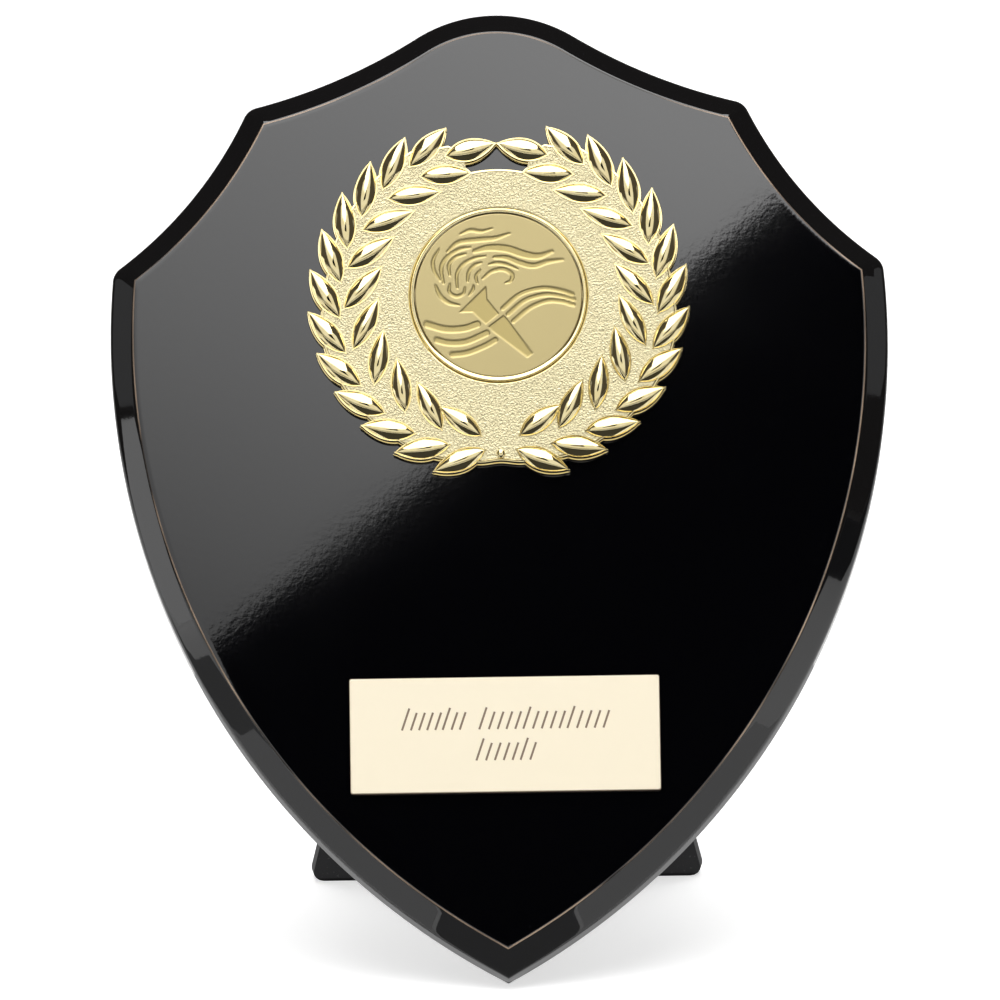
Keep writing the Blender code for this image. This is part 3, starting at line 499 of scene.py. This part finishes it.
def leaf_pattern():
    """One leaf in its beaded margin, 1 long, 1 wide and 1 high, to be laid many times."""
    ledge = LEDGE_RISE / LEAF_RISE
    bead = BEAD_RISE / LEAF_RISE
    floor = -(GROUND_TOP - GAP) / LEAF_RISE
    foot = floor + FOOT_RISE / LEAF_RISE
    shoulder = foot * FOOT_SHOULDER + floor * (1 - FOOT_SHOULDER)
    bm = bmesh.new()
    rows = []
    for k in range(1, LEAF_STATIONS):
        part = -LEAF_MARGIN_ALONG + (1 + 2 * LEAF_MARGIN_ALONG) * (1 - cos(pi * k / LEAF_STATIONS)) / 2
        full = leaf_fullness(min(max(part, 0.0), 1.0))
        half = full / 2
        reach = (part + LEAF_MARGIN_ALONG) * (1 + LEAF_MARGIN_ALONG - part)
        taper = min(1.0, sqrt(reach / LEAF_MARGIN_ALONG))
        edge = half + LEAF_MARGIN_ACROSS * taper
        toe = edge + LEAF_FOOT_ACROSS * taper
        flank = [(-toe, floor), (-toe, shoulder), (-toe + 0.02 * taper, foot),
                 (-edge, foot), (-edge, bead * 0.4), (-edge + 0.01 * taper, bead),
                 (-edge + 0.03 * taper, bead), (-edge + 0.045 * taper, ledge), (-half, ledge)]
        for step in range(1, POD_STEPS):
            lean = -cos(pi / 2 * step / POD_STEPS)
            flank.append((half * lean, ledge + full * (1 - lean ** 2)))
        section = flank + [(0.0, ledge + full)] + [(-y, z) for y, z in reversed(flank)]
        rows.append([bm.verts.new((part, y, z)) for y, z in section])
    for row, following in zip(rows, rows[1:]):
        for i in range(len(row) - 1):
            bm.faces.new((row[i], row[i + 1], following[i + 1], following[i]))
    for row, part, reach in ((rows[0], -LEAF_MARGIN_ALONG, -LEAF_FOOT_ALONG),
                             (rows[-1], 1 + LEAF_MARGIN_ALONG, LEAF_FOOT_ALONG)):
        heights = (floor, shoulder, foot, foot, bead * 0.4)
        reaches = (reach, reach, reach * FOOT_TOP, 0.0, 0.0)
        middle = [bm.verts.new((part + out, 0.0, height)) for out, height in zip(reaches, heights)]
        for i in range(len(middle) - 1):
            bm.faces.new((row[i], row[i + 1], middle[i + 1], middle[i]))
            bm.faces.new((row[-2 - i], row[-1 - i], middle[i], middle[i + 1]))
        for i in range(len(middle) - 1, len(row) - len(middle)):
            bm.faces.new((row[i], row[i + 1], middle[-1]))
    return smooth_mesh(bm, "leaf_pattern", Matrix.Identity(4), LEAF_SHARP)


def node_input(tree, name, kind, value=None):
    """Add a named input to a node tree."""
    socket = tree.interface.new_socket(name=name, in_out="INPUT", socket_type=kind)
    if value is not None:
        socket.default_value = value


def leaf_laying_tree(finish):
    """Geometry Nodes that lay one leaf on every point, turned and sized by the point's own values."""
    tree = bpy.data.node_groups.new("lay_leaves", "GeometryNodeTree")
    node_input(tree, "Places", "NodeSocketGeometry")
    node_input(tree, "Leaf", "NodeSocketObject")
    node_input(tree, "Rise", "NodeSocketFloat", LEAF_RISE)
    tree.interface.new_socket(name="Leaves", in_out="OUTPUT", socket_type="NodeSocketGeometry")
    nodes, links = tree.nodes, tree.links
    given = nodes.new("NodeGroupInput")
    leaf = nodes.new("GeometryNodeObjectInfo")
    links.new(given.outputs["Leaf"], leaf.inputs["Object"])
    values = {}
    for name in ("turn", "long", "wide"):
        values[name] = nodes.new("GeometryNodeInputNamedAttribute")
        values[name].data_type = "FLOAT"
        values[name].inputs["Name"].default_value = name
    size = nodes.new("ShaderNodeCombineXYZ")
    links.new(values["long"].outputs["Attribute"], size.inputs["X"])
    links.new(values["wide"].outputs["Attribute"], size.inputs["Y"])
    links.new(given.outputs["Rise"], size.inputs["Z"])
    turning = nodes.new("ShaderNodeCombineXYZ")
    links.new(values["turn"].outputs["Attribute"], turning.inputs["Z"])
    lay = nodes.new("GeometryNodeInstanceOnPoints")
    links.new(given.outputs["Places"], lay.inputs["Points"])
    links.new(leaf.outputs["Geometry"], lay.inputs["Instance"])
    links.new(turning.outputs["Vector"], lay.inputs["Rotation"])
    links.new(size.outputs["Vector"], lay.inputs["Scale"])
    realize = nodes.new("GeometryNodeRealizeInstances")
    links.new(lay.outputs["Instances"], realize.inputs["Geometry"])
    paint = nodes.new("GeometryNodeSetMaterial")
    paint.inputs["Material"].default_value = finish
    links.new(realize.outputs["Geometry"], paint.inputs["Geometry"])
    made = nodes.new("NodeGroupOutput")
    links.new(paint.outputs["Geometry"], made.inputs["Leaves"])
    return tree


def socket_id(tree, name):
    """The identifier of a named input."""
    return next(item.identifier for item in tree.interface.items_tree
                if item.name == name and item.in_out == "INPUT")


def lay_leaves(finish):
    """All leaves of both branches as one plain mesh."""
    leaves = []
    for root, tip, width in wreath_leaves():
        leaves.append((root, tip, width))
        leaves.append((Vector((-root.x, root.y)), Vector((-tip.x, tip.y)), width))
    places = bpy.data.meshes.new("leaf_places")
    places.from_pydata([(root.x, root.y, GROUND_TOP) for root, _, _ in leaves], [], [])
    ways = [tip - root for root, tip, _ in leaves]
    for name, values in (("turn", [np.arctan2(way.y, way.x) for way in ways]),
                         ("long", [way.length for way in ways]),
                         ("wide", [width for _, _, width in leaves])):
        places.attributes.new(name, "FLOAT", "POINT").data.foreach_set("value", values)
    carrier = bpy.data.objects.new("leaf_places", places)
    pattern = bpy.data.objects.new("leaf_pattern", leaf_pattern())
    for thing in (carrier, pattern):
        bpy.context.scene.collection.objects.link(thing)
    tree = leaf_laying_tree(finish)
    laying = carrier.modifiers.new("leaves", "NODES")
    laying.node_group = tree
    laying[socket_id(tree, "Leaf")] = pattern
    view = bpy.context.evaluated_depsgraph_get()
    mesh = bpy.data.meshes.new_from_object(carrier.evaluated_get(view))
    mesh.polygons.foreach_set("material_index", [0] * len(mesh.polygons))
    carrier.modifiers.remove(laying)
    bpy.data.objects.remove(carrier)
    bpy.data.objects.remove(pattern)
    return mesh


def ground_outline():
    """The ground's outline as angle from the top and radius, with the opening at the top."""
    first = GROUND_EDGE[0][0]
    right = [(first, OPENING_CORNER)]
    for k in range(EDGE_STEPS + 1):
        angle = first + (180 - first) * k / EDGE_STEPS
        right.append((angle, blend(GROUND_EDGE, angle) * MM))
    outline = right + [(-angle, radius) for angle, radius in right[-2::-1]]
    for k in range(1, OPENING_STEPS):
        outline.append((first * (2 * k / OPENING_STEPS - 1), FIELD_RADIUS))
    return outline


def make_wreath(polished, stippled):
    """The gilt moulding: leaves, rim and ring polished, and the ground between them stippled."""
    outline = ground_outline()
    sections = [[(*polar(angle, radius - inset), height) for angle, radius in outline]
                for inset, height in EDGE_PROFILE]
    sections += [[(*polar(angle, radius), height) for angle, _ in outline]
                 for radius, height in RING_PROFILE]
    bm = bmesh.new()
    add_loft(bm, sections, band_finishes(sections, STIPPLED_BANDS))
    bm.from_mesh(lay_leaves(polished))
    knot = bmesh.ops.create_uvsphere(bm, u_segments=KNOT_SIDES, v_segments=KNOT_RINGS, radius=1.0)
    bmesh.ops.scale(bm, verts=knot["verts"], vec=KNOT_SIZE)
    bmesh.ops.translate(bm, verts=knot["verts"], vec=(0.0, -KNOT_DOWN, GROUND_TOP))
    mesh = smooth_mesh(bm, "gilt_wreath", ON_WREATH, WREATH_SHARP)
    mesh.materials.append(polished)
    mesh.materials.append(stippled)
    return add_piece("gilt_wreath", mesh, "plaque", "gilt_moulding", "wreath_trim")


# The pressed centre

def smooth_path(points, pieces):
    """Even stations along a smooth curve through a few points."""
    points = [np.array(point) for point in points]
    chain = [points[0] * 2 - points[1]] + points + [points[-1] * 2 - points[-2]]
    spans = len(points) - 1
    stations = []
    for k in range(pieces + 1):
        along = spans * k / pieces
        span = min(int(along), spans - 1)
        t = along - span
        a, b, c, d = chain[span:span + 4]
        cubic = b * 3 - c * 3 + d - a
        square = a * 2 - b * 5 + c * 4 - d
        stations.append((cubic * t ** 3 + square * t ** 2 + (c - a) * t + b * 2) / 2)
    return stations


def soft_step(reach):
    """How deep a sunk shape is at a distance inside its edge, from 0 to 1."""
    step = np.clip(reach / TORCH_WALL + 0.5, 0, 1)
    return step * step * (3 - 2 * step)


def stroke_depth(x, y, width, points, pointed):
    """Depth, 0 to 1, of a sunk stroke over every place. A pointed one narrows towards its ends."""
    path = smooth_path(points, STROKE_STATIONS)
    depth = np.zeros_like(x)
    for k, (start, end) in enumerate(zip(path, path[1:])):
        way = end - start
        along = np.clip(((x - start[0]) * way[0] + (y - start[1]) * way[1]) / max(way @ way, 1e-9), 0, 1)
        off = np.hypot(x - start[0] - way[0] * along, y - start[1] - way[1] * along)
        part = (k + along) / (len(path) - 1)
        swell = np.sin(pi * (TONGUE_START + TONGUE_SPAN * part)) ** TONGUE_FULLNESS
        half = width / 2 * (swell if pointed else 1.0)
        depth = np.maximum(depth, soft_step(half - off))
    return depth


def shape_depth(x, y, outline):
    """Depth, 0 to 1, of a sunk shape with straight sides over every place."""
    inside = np.zeros(x.shape, bool)
    nearest = np.full(x.shape, 1e9)
    for (ax, ay), (bx, by) in zip(outline, outline[1:] + outline[:1]):
        crosses = (ay > y) != (by > y)
        reach = (bx - ax) * (y - ay) / (by - ay if by != ay else 1e-9) + ax
        inside ^= crosses & (x < reach)
        along = np.clip(((x - ax) * (bx - ax) + (y - ay) * (by - ay)) / hypot(bx - ax, by - ay) ** 2, 0, 1)
        nearest = np.minimum(nearest, np.hypot(x - ax - (bx - ax) * along, y - ay - (by - ay) * along))
    return soft_step(np.where(inside, nearest, -nearest))


def torch_depth(x, y):
    """Depth of the sunk torch, flame and bands under the field, 0 to 1."""
    depth = np.maximum(shape_depth(x, y, CUP), shape_depth(x, y, HANDLE))
    for width, points in FLAME:
        depth = np.maximum(depth, stroke_depth(x, y, width, points, True))
    for width, points in BANDS:
        depth = np.maximum(depth, stroke_depth(x, y, width, points, False))
    return depth


def make_centre(finish):
    """The pressed metal centre, its torch sunk in one sheet."""
    field = CENTRE_RADIUS - CENTRE_EDGE
    low = RECESS_FLOOR + GAP
    face = low + CENTRE_THICK
    angle = np.linspace(0, 2 * pi, CENTRE_SIDES, endpoint=False)
    sections = [[(CENTRE_RADIUS * cos(a), CENTRE_RADIUS * sin(a), low) for a in angle],
                [(CENTRE_RADIUS * cos(a), CENTRE_RADIUS * sin(a), face - CENTRE_EDGE) for a in angle]]
    for k in range(CENTRE_RINGS):
        radius = field * (CENTRE_RINGS - k) / CENTRE_RINGS
        x, y = radius * np.cos(angle), radius * np.sin(angle)
        fade = min(1.0, (CENTRE_RADIUS - radius) / CENTRE_RIM)
        heights = face - TORCH_DEPTH * fade * torch_depth(x / MM, y / MM)
        sections.append(list(zip(x, y, heights)))
    bm = bmesh.new()
    add_loft(bm, sections)
    mesh = smooth_mesh(bm, "pressed_centre", ON_WREATH, CENTRE_SHARP)
    mesh.materials.append(finish)
    return add_piece("pressed_centre", mesh, "plaque", "pressed_gold", "centre_disc")


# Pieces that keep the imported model's shape and get softened edges

def soften(node, name, body, slot, finish, width):
    """A merged copy of a CAD node with rounded edges, in place of the node."""
    bm = bmesh.new()
    bm.from_mesh(frame["nodes"][node].data)
    bmesh.ops.remove_doubles(bm, verts=bm.verts, dist=NODE_MERGE)
    bmesh.ops.dissolve_limit(bm, angle_limit=NODE_FLAT, verts=bm.verts, edges=bm.edges)
    mesh = bpy.data.meshes.new(name)
    bm.to_mesh(mesh)
    bm.free()
    mesh.materials.clear()
    mesh.materials.append(finish)
    piece = add_piece(name, mesh, body, slot, node)
    edge = piece.modifiers.new("soft_edges", "BEVEL")
    edge.width = width
    edge.segments = 2
    edge.limit_method = "ANGLE"
    edge.angle_limit = NODE_SHARP
    edge.harden_normals = True
    mesh.shade_smooth()
    mesh.set_sharp_from_angle(angle=NODE_SHARP)


# Finishes

def effect_group(name, inputs, outputs):
    """An empty shader node group with named inputs and outputs."""
    group = bpy.data.node_groups.new(name, "ShaderNodeTree")
    for label, kind, value in inputs:
        node_input(group, label, kind, value)
    for label, kind in outputs:
        group.interface.new_socket(name=label, in_out="OUTPUT", socket_type=kind)
    return group, group.nodes.new("NodeGroupInput"), group.nodes.new("NodeGroupOutput")


def math_node(tree, operation, first, second, clamp=False):
    """A math node fed by sockets or plain numbers."""
    node = tree.nodes.new("ShaderNodeMath")
    node.operation = operation
    node.use_clamp = clamp
    for socket, value in zip(node.inputs, (first, second)):
        if isinstance(value, (int, float)):
            socket.default_value = value
        else:
            tree.links.new(value, socket)
    return node.outputs["Value"]


def noise_node(tree, place, scale, detail):
    """Noise over a place; the scale is a socket or a number."""
    node = tree.nodes.new("ShaderNodeTexNoise")
    tree.links.new(place, node.inputs["Vector"])
    if isinstance(scale, (int, float)):
        node.inputs["Scale"].default_value = scale
    else:
        tree.links.new(scale, node.inputs["Scale"])
    node.inputs["Detail"].default_value = detail
    return node.outputs["Fac"]


def ranged(tree, value, bounds):
    """A node that spreads the part of a value between two bounds over 0 to 1."""
    node = tree.nodes.new("ShaderNodeMapRange")
    node.inputs["From Min"].default_value = bounds[0]
    node.inputs["From Max"].default_value = bounds[1]
    tree.links.new(value, node.inputs["Value"])
    return node


def grain_group():
    """Small bumps of a given size in millimetres, as a height and as a light and dark shade."""
    group, given, made = effect_group(
        "surface_grain",
        (("Place", "NodeSocketVector", None), ("Grain mm", "NodeSocketFloat", 1.0),
         ("Fineness", "NodeSocketFloat", 0.5)),
        (("Height", "NodeSocketFloat"), ("Shade", "NodeSocketFloat")))
    scale = math_node(group, "DIVIDE", 1 / MM, given.outputs["Grain mm"])
    coarse = noise_node(group, given.outputs["Place"], scale, 1.0)
    fine_scale = math_node(group, "MULTIPLY", scale, FINER_GRAIN)
    fine = noise_node(group, given.outputs["Place"], fine_scale, 1.0)
    fine_part = math_node(group, "MULTIPLY", fine, given.outputs["Fineness"])
    height = math_node(group, "ADD", coarse, fine_part)
    group.links.new(height, made.inputs["Height"])
    shade = ranged(group, coarse, SHADE_RANGE)
    group.links.new(shade.outputs["Result"], made.inputs["Shade"])
    return group


def handling_group():
    """Faint smudges and dust from handling: a roughness and a dust mask."""
    group, given, made = effect_group(
        "handling_marks",
        (("Place", "NodeSocketVector", None), ("Clean", "NodeSocketFloat", 0.1),
         ("Smudged", "NodeSocketFloat", 0.15), ("Dust", "NodeSocketFloat", 0.3)),
        (("Roughness", "NodeSocketFloat"), ("Dust mask", "NodeSocketFloat")))
    broad = noise_node(group, given.outputs["Place"], SMUDGE_SCALE, 3.0)
    smudge = ranged(group, broad, SMUDGE_RANGE)
    group.links.new(given.outputs["Clean"], smudge.inputs["To Min"])
    group.links.new(given.outputs["Smudged"], smudge.inputs["To Max"])
    group.links.new(smudge.outputs["Result"], made.inputs["Roughness"])
    specks = noise_node(group, given.outputs["Place"], SPECK_SCALE, 0.0)
    speck = ranged(group, specks, SPECK_RANGE)
    dust = math_node(group, "MULTIPLY", speck.outputs["Result"], given.outputs["Dust"], clamp=True)
    group.links.new(dust, made.inputs["Dust mask"])
    return group


class Finish:
    """A material under construction: its tree, its shader and the object's own coordinates."""

    def __init__(self, name, colour, roughness, metallic=0.0):
        self.material = bpy.data.materials.new(name)
        self.material.use_nodes = True
        self.tree = self.material.node_tree
        self.shader = self.tree.nodes["Principled BSDF"]
        self.shader.inputs["Base Color"].default_value = (*colour, 1.0)
        self.shader.inputs["Roughness"].default_value = roughness
        self.shader.inputs["Metallic"].default_value = metallic
        self.place = self.tree.nodes.new("ShaderNodeTexCoord").outputs["Object"]

    def use(self, group, **values):
        """Place a shared effect with its own values."""
        node = self.tree.nodes.new("ShaderNodeGroup")
        node.node_tree = group
        self.tree.links.new(self.place, node.inputs["Place"])
        for label, value in values.items():
            node.inputs[label.replace("_", " ")].default_value = value
        return node

    def mix(self, mask, low, high):
        """A colour between two by a mask."""
        node = self.tree.nodes.new("ShaderNodeMix")
        node.data_type = "RGBA"
        self.tree.links.new(mask, node.inputs["Factor"])
        node.inputs["A"].default_value = (*low, 1.0)
        node.inputs["B"].default_value = (*high, 1.0)
        return node.outputs["Result"]

    def colour(self, socket):
        """Feed the base colour."""
        self.tree.links.new(socket, self.shader.inputs["Base Color"])

    def roughness(self, socket):
        """Feed the roughness."""
        self.tree.links.new(socket, self.shader.inputs["Roughness"])

    def bump(self, height, depth):
        """Feed the normal from a height of a real depth."""
        node = self.tree.nodes.new("ShaderNodeBump")
        node.inputs["Distance"].default_value = depth
        self.tree.links.new(height, node.inputs["Height"])
        self.tree.links.new(node.outputs["Normal"], self.shader.inputs["Normal"])

    def out_of_face(self):
        """Height above the board's face, in metres, from the object's own coordinates."""
        node = self.tree.nodes.new("ShaderNodeMapping")
        node.vector_type = "POINT"
        back = ON_BOARD.inverted()
        node.inputs["Location"].default_value = back.translation
        node.inputs["Rotation"].default_value = back.to_euler()
        self.tree.links.new(self.place, node.inputs["Vector"])
        parts = self.tree.nodes.new("ShaderNodeSeparateXYZ")
        self.tree.links.new(node.outputs["Vector"], parts.inputs["Vector"])
        return parts.outputs["Z"]


def lacquer_finish(grain, marks):
    """Thick gloss black lacquer with faint orange peel and a little dust."""
    finish = Finish("black_lacquer", LACQUER, 0.04)
    finish.shader.inputs["Specular IOR Level"].default_value = 0.875
    handled = finish.use(marks, Clean=0.03, Smudged=0.045, Dust=0.01)
    finish.roughness(handled.outputs["Roughness"])
    finish.colour(finish.mix(handled.outputs["Dust mask"], LACQUER, LACQUER_DUST))
    peel = finish.use(grain, Grain_mm=0.85, Fineness=0.3)
    finish.bump(peel.outputs["Height"], 0.0012 * MM)
    return finish.material


def edge_highlight_finish(grain, marks):
    """A paler tan line painted along the rounded edge round the face, stronger in some places than others:
    a painted highlight.
    """
    finish = Finish("painted_edge_highlight", EDGE_HIGHLIGHT, 0.3)
    handled = finish.use(marks, Clean=0.2, Smudged=0.4, Dust=0.0)
    finish.roughness(handled.outputs["Roughness"])
    # Painted highlight: a broad noise sets how pale the edge line is along its length
    highlight_spread = finish.use(grain, Grain_mm=14.0, Fineness=0.2)
    finish.colour(finish.mix(highlight_spread.outputs["Shade"], EDGE_HIGHLIGHT_DARK, EDGE_HIGHLIGHT_PALE))
    return finish.material


def polished_gilt_finish(grain, marks):
    """Bright gold plating on smooth plastic."""
    finish = Finish("gilt_moulding", GILT, 0.06, 1.0)
    handled = finish.use(marks, Clean=0.05, Smudged=0.09, Dust=0.0)
    finish.roughness(handled.outputs["Roughness"])
    flow = finish.use(grain, Grain_mm=0.9, Fineness=0.2)
    finish.colour(finish.mix(flow.outputs["Shade"], GILT_DEEP, GILT_PALE))
    finish.bump(flow.outputs["Height"], 0.0015 * MM)
    return finish.material


def stippled_gilt_finish(grain, marks):
    """The same plating over the moulding's stippled ground."""
    finish = Finish("gilt_stipple", STIPPLE, 0.34, 0.75)
    handled = finish.use(marks, Clean=0.31, Smudged=0.37, Dust=0.0)
    finish.roughness(handled.outputs["Roughness"])
    stipple = finish.use(grain, Grain_mm=0.29, Fineness=0.3)
    finish.colour(finish.mix(stipple.outputs["Shade"], STIPPLE_DEEP, STIPPLE_PALE))
    finish.bump(stipple.outputs["Height"], 0.19 * MM)
    return finish.material


def pressed_gold_finish(grain, marks):
    """Satin gold on thin pressed metal, with painted shade: darker where the torch is sunk."""
    finish = Finish("pressed_gold", PRESSED_GOLD, 0.42, 1.0)
    handled = finish.use(marks, Clean=0.39, Smudged=0.45, Dust=0.0)
    finish.roughness(handled.outputs["Roughness"])
    face = RECESS_FLOOR + GAP + CENTRE_THICK
    # Painted shade: the colour darkens with depth below the face, in the hollows of the sunk torch
    hollow_shade = ranged(finish.tree, finish.out_of_face(), (face - TORCH_DEPTH, face))
    finish.colour(finish.mix(hollow_shade.outputs["Result"], PRESSED_GOLD_PAINTED_SHADE, PRESSED_GOLD))
    fine = finish.use(grain, Grain_mm=0.25, Fineness=0.4)
    finish.bump(fine.outputs["Height"], 0.004 * MM)
    return finish.material


def plate_gold_finish(grain, marks):
    """Pale satin gold with the engraved strokes cut through to brown."""
    finish = Finish("plate_gold", PLATE_GOLD, 0.5, 0.1)
    handled = finish.use(marks, Clean=0.44, Smudged=0.55, Dust=0.0)
    finish.roughness(handled.outputs["Roughness"])
    face = GAP + PLATE_THICK
    cut = ranged(finish.tree, finish.out_of_face(), (face - STROKE_DEPTH * 0.9, face - STROKE_DEPTH * 0.4))
    finish.colour(finish.mix(cut.outputs["Result"], STROKE_BROWN, PLATE_GOLD))
    fine = finish.use(grain, Grain_mm=0.3, Fineness=0.6)
    finish.bump(fine.outputs["Height"], 0.003 * MM)
    return finish.material


def plastic_finish(grain, marks):
    """Satin black moulded plastic with a fine spark-eroded texture."""
    finish = Finish("black_plastic", PLASTIC, 0.42)
    handled = finish.use(marks, Clean=0.38, Smudged=0.5, Dust=0.25)
    finish.roughness(handled.outputs["Roughness"])
    finish.colour(finish.mix(handled.outputs["Dust mask"], PLASTIC, PLASTIC_DUST))
    texture = finish.use(grain, Grain_mm=0.28, Fineness=0.5)
    finish.bump(texture.outputs["Height"], 0.012 * MM)
    return finish.material


def steel_finish(grain, marks):
    """Bright zinc on the screws."""
    finish = Finish("zinc_steel", ZINC, 0.3, 1.0)
    handled = finish.use(marks, Clean=0.26, Smudged=0.42, Dust=0.0)
    finish.roughness(handled.outputs["Roughness"])
    fine = finish.use(grain, Grain_mm=0.35, Fineness=0.5)
    finish.colour(finish.mix(fine.outputs["Shade"], ZINC_DULL, ZINC_BRIGHT))
    finish.bump(fine.outputs["Height"], 0.004 * MM)
    return finish.material


# Studio

def soft_box(name, place, aim, outline, levels, fade=(-0.3, 0.3), fade_turn=0.0):
    """A glowing panel that faces a point. Its level fades between two heights, turned from upright."""
    mesh = bpy.data.meshes.new(name)
    mesh.from_pydata([(x, y, 0) for x, y in outline], [], [range(len(outline))])
    glow = bpy.data.materials.new(name)
    glow.use_nodes = True
    tree = glow.node_tree
    tree.nodes.clear()
    out = tree.nodes.new("ShaderNodeOutputMaterial")
    light = tree.nodes.new("ShaderNodeEmission")
    tree.links.new(light.outputs["Emission"], out.inputs["Surface"])
    along = tree.nodes.new("ShaderNodeVectorMath")
    along.operation = "DOT_PRODUCT"
    along.inputs[1].default_value = (sin(fade_turn), cos(fade_turn), 0.0)
    tree.links.new(tree.nodes.new("ShaderNodeTexCoord").outputs["Object"], along.inputs[0])
    level = ranged(tree, along.outputs["Value"], fade)
    level.inputs["To Min"].default_value = levels[0]
    level.inputs["To Max"].default_value = levels[1]
    tree.links.new(level.outputs["Result"], light.inputs["Strength"])
    mesh.materials.append(glow)
    panel = bpy.data.objects.new(name, mesh)
    panel.location = place
    away = (Vector(place) - Vector(aim)).normalized()
    across = Vector((0, 0, 1)).cross(away)
    if across.length < 0.01:
        across = Vector((1, 0, 0))
    across.normalize()
    panel.rotation_euler = Matrix((across, away.cross(across), away)).transposed().to_euler()
    panel.visible_camera = False
    bpy.context.scene.collection.objects.link(panel)


def flat_card(name, outline, level):
    """A glowing card lying on the floor that only mirrors in glossy things: a painted reflection of a
    patch of floor, lighter or darker by its level.
    """
    mesh = bpy.data.meshes.new(name)
    mesh.from_pydata([(x, y, CARD_RISE) for x, y in outline], [], [range(len(outline))])
    shade = bpy.data.materials.new(name)
    shade.use_nodes = True
    shader = shade.node_tree.nodes["Principled BSDF"]
    shader.inputs["Base Color"].default_value = (*BLACK, 1.0)
    shader.inputs["Specular IOR Level"].default_value = 0.0
    shader.inputs["Emission Color"].default_value = (*WHITE, 1.0)
    shader.inputs["Emission Strength"].default_value = level
    mesh.materials.append(shade)
    card = bpy.data.objects.new(name, mesh)
    card.visible_camera = False
    card.visible_diffuse = False
    card.visible_shadow = False
    bpy.context.scene.collection.objects.link(card)


def oblong(width, height):
    """The outline of an oblong panel."""
    aside, up = width / 2, height / 2
    return [(-aside, -up), (aside, -up), (aside, up), (-aside, up)]


def make_floor():
    """A pale floor that runs out of sight."""
    floor_mesh = bpy.data.meshes.new("floor")
    corners = [(x, y, 0) for x, y in oblong(2 * FLOOR_REACH, 2 * FLOOR_REACH)]
    floor_mesh.from_pydata(corners, [], [range(len(corners))])
    paper = bpy.data.materials.new("pale_paper")
    paper.use_nodes = True
    shader = paper.node_tree.nodes["Principled BSDF"]
    shader.inputs["Base Color"].default_value = (*FLOOR_SHADE, 1.0)
    shader.inputs["Roughness"].default_value = 0.9
    shader.inputs["Specular IOR Level"].default_value = 0.1
    shader.inputs["Emission Color"].default_value = (*WHITE, 1.0)
    seen = paper.node_tree.nodes.new("ShaderNodeLightPath").outputs["Is Camera Ray"]
    seen_glow = math_node(paper.node_tree, "MULTIPLY", seen, FLOOR_SEEN_GLOW)
    glow = math_node(paper.node_tree, "ADD", seen_glow, FLOOR_GLOW)
    paper.node_tree.links.new(glow, shader.inputs["Emission Strength"])
    floor_mesh.materials.append(paper)
    floor = bpy.data.objects.new("floor", floor_mesh)
    bpy.context.scene.collection.objects.link(floor)


def make_room():
    """A dark room that the camera sees as pale."""
    world = bpy.data.worlds.new("dark_room")
    world.use_nodes = True
    tree = world.node_tree
    dark = tree.nodes["Background"]
    dark.inputs["Color"].default_value = (*ROOM_DARK, 1.0)
    pale = tree.nodes.new("ShaderNodeBackground")
    pale.inputs["Color"].default_value = (*ROOM_SEEN, 1.0)
    choose = tree.nodes.new("ShaderNodeMixShader")
    path = tree.nodes.new("ShaderNodeLightPath")
    tree.links.new(path.outputs["Is Camera Ray"], choose.inputs["Fac"])
    tree.links.new(dark.outputs["Background"], choose.inputs[1])
    tree.links.new(pale.outputs["Background"], choose.inputs[2])
    tree.links.new(choose.outputs["Shader"], tree.nodes["World Output"].inputs["Surface"])
    bpy.context.scene.world = world


def make_lights():
    """The soft boxes, and the glowing cards that only mirror in the plaque as painted reflections."""
    soft_box("key_box", KEY_PLACE, LIGHT_AIM, KEY_OUTLINE, KEY_LEVELS, KEY_FADE, KEY_FADE_TURN)
    for name, place, aim, size, level in SOFT_BOXES:
        soft_box(name, place, aim, oblong(*size), (level, level))
    for name, outline, level in FLOOR_CARDS:
        flat_card(name, outline, level)


def make_camera():
    """The camera at the photograph's height, aimed at the plaque."""
    lens = bpy.data.cameras.new("camera")
    lens.lens = CAMERA_LENS
    lens.shift_x, lens.shift_y = CAMERA_SHIFT
    lens.clip_end = CAMERA_REACH
    camera = bpy.data.objects.new("camera", lens)
    forward = Vector((0, cos(CAMERA_ELEVATION), -sin(CAMERA_ELEVATION)))
    camera.location = CAMERA_AIM - forward * CAMERA_DISTANCE
    camera.rotation_mode = "QUATERNION"
    camera.rotation_quaternion = Quaternion(forward, CAMERA_ROLL) @ forward.to_track_quat("-Z", "Y")
    bpy.context.scene.collection.objects.link(camera)
    bpy.context.scene.camera = camera


bpy.context.scene.view_settings.view_transform = "Standard"
make_camera()
make_floor()
make_room()
make_lights()

surface_grain = grain_group()
handling_marks = handling_group()
lacquer = lacquer_finish(surface_grain, handling_marks)
edge_highlight = edge_highlight_finish(surface_grain, handling_marks)
polished_gilt = polished_gilt_finish(surface_grain, handling_marks)
stippled_gilt = stippled_gilt_finish(surface_grain, handling_marks)
pressed_gold = pressed_gold_finish(surface_grain, handling_marks)
plate_gold = plate_gold_finish(surface_grain, handling_marks)
plastic = plastic_finish(surface_grain, handling_marks)
steel = steel_finish(surface_grain, handling_marks)

make_board(lacquer, edge_highlight)
make_wreath(polished_gilt, stippled_gilt)
make_centre(pressed_gold)
plate = frame["nodes"]["engraving_plate"]
plate.data.materials.clear()
plate.data.materials.append(plate_gold)
soften("strut_leg", "leg", "strut", "black_plastic", plastic, LEG_ROUND)
soften("strut_bracket", "bracket", "plaque", "black_plastic", plastic, BRACKET_ROUND)
soften("bracket_screw_left", "left_screw", "plaque", "zinc_steel", steel, SCREW_ROUND)
soften("bracket_screw_right", "right_screw", "plaque", "zinc_steel", steel, SCREW_ROUND)
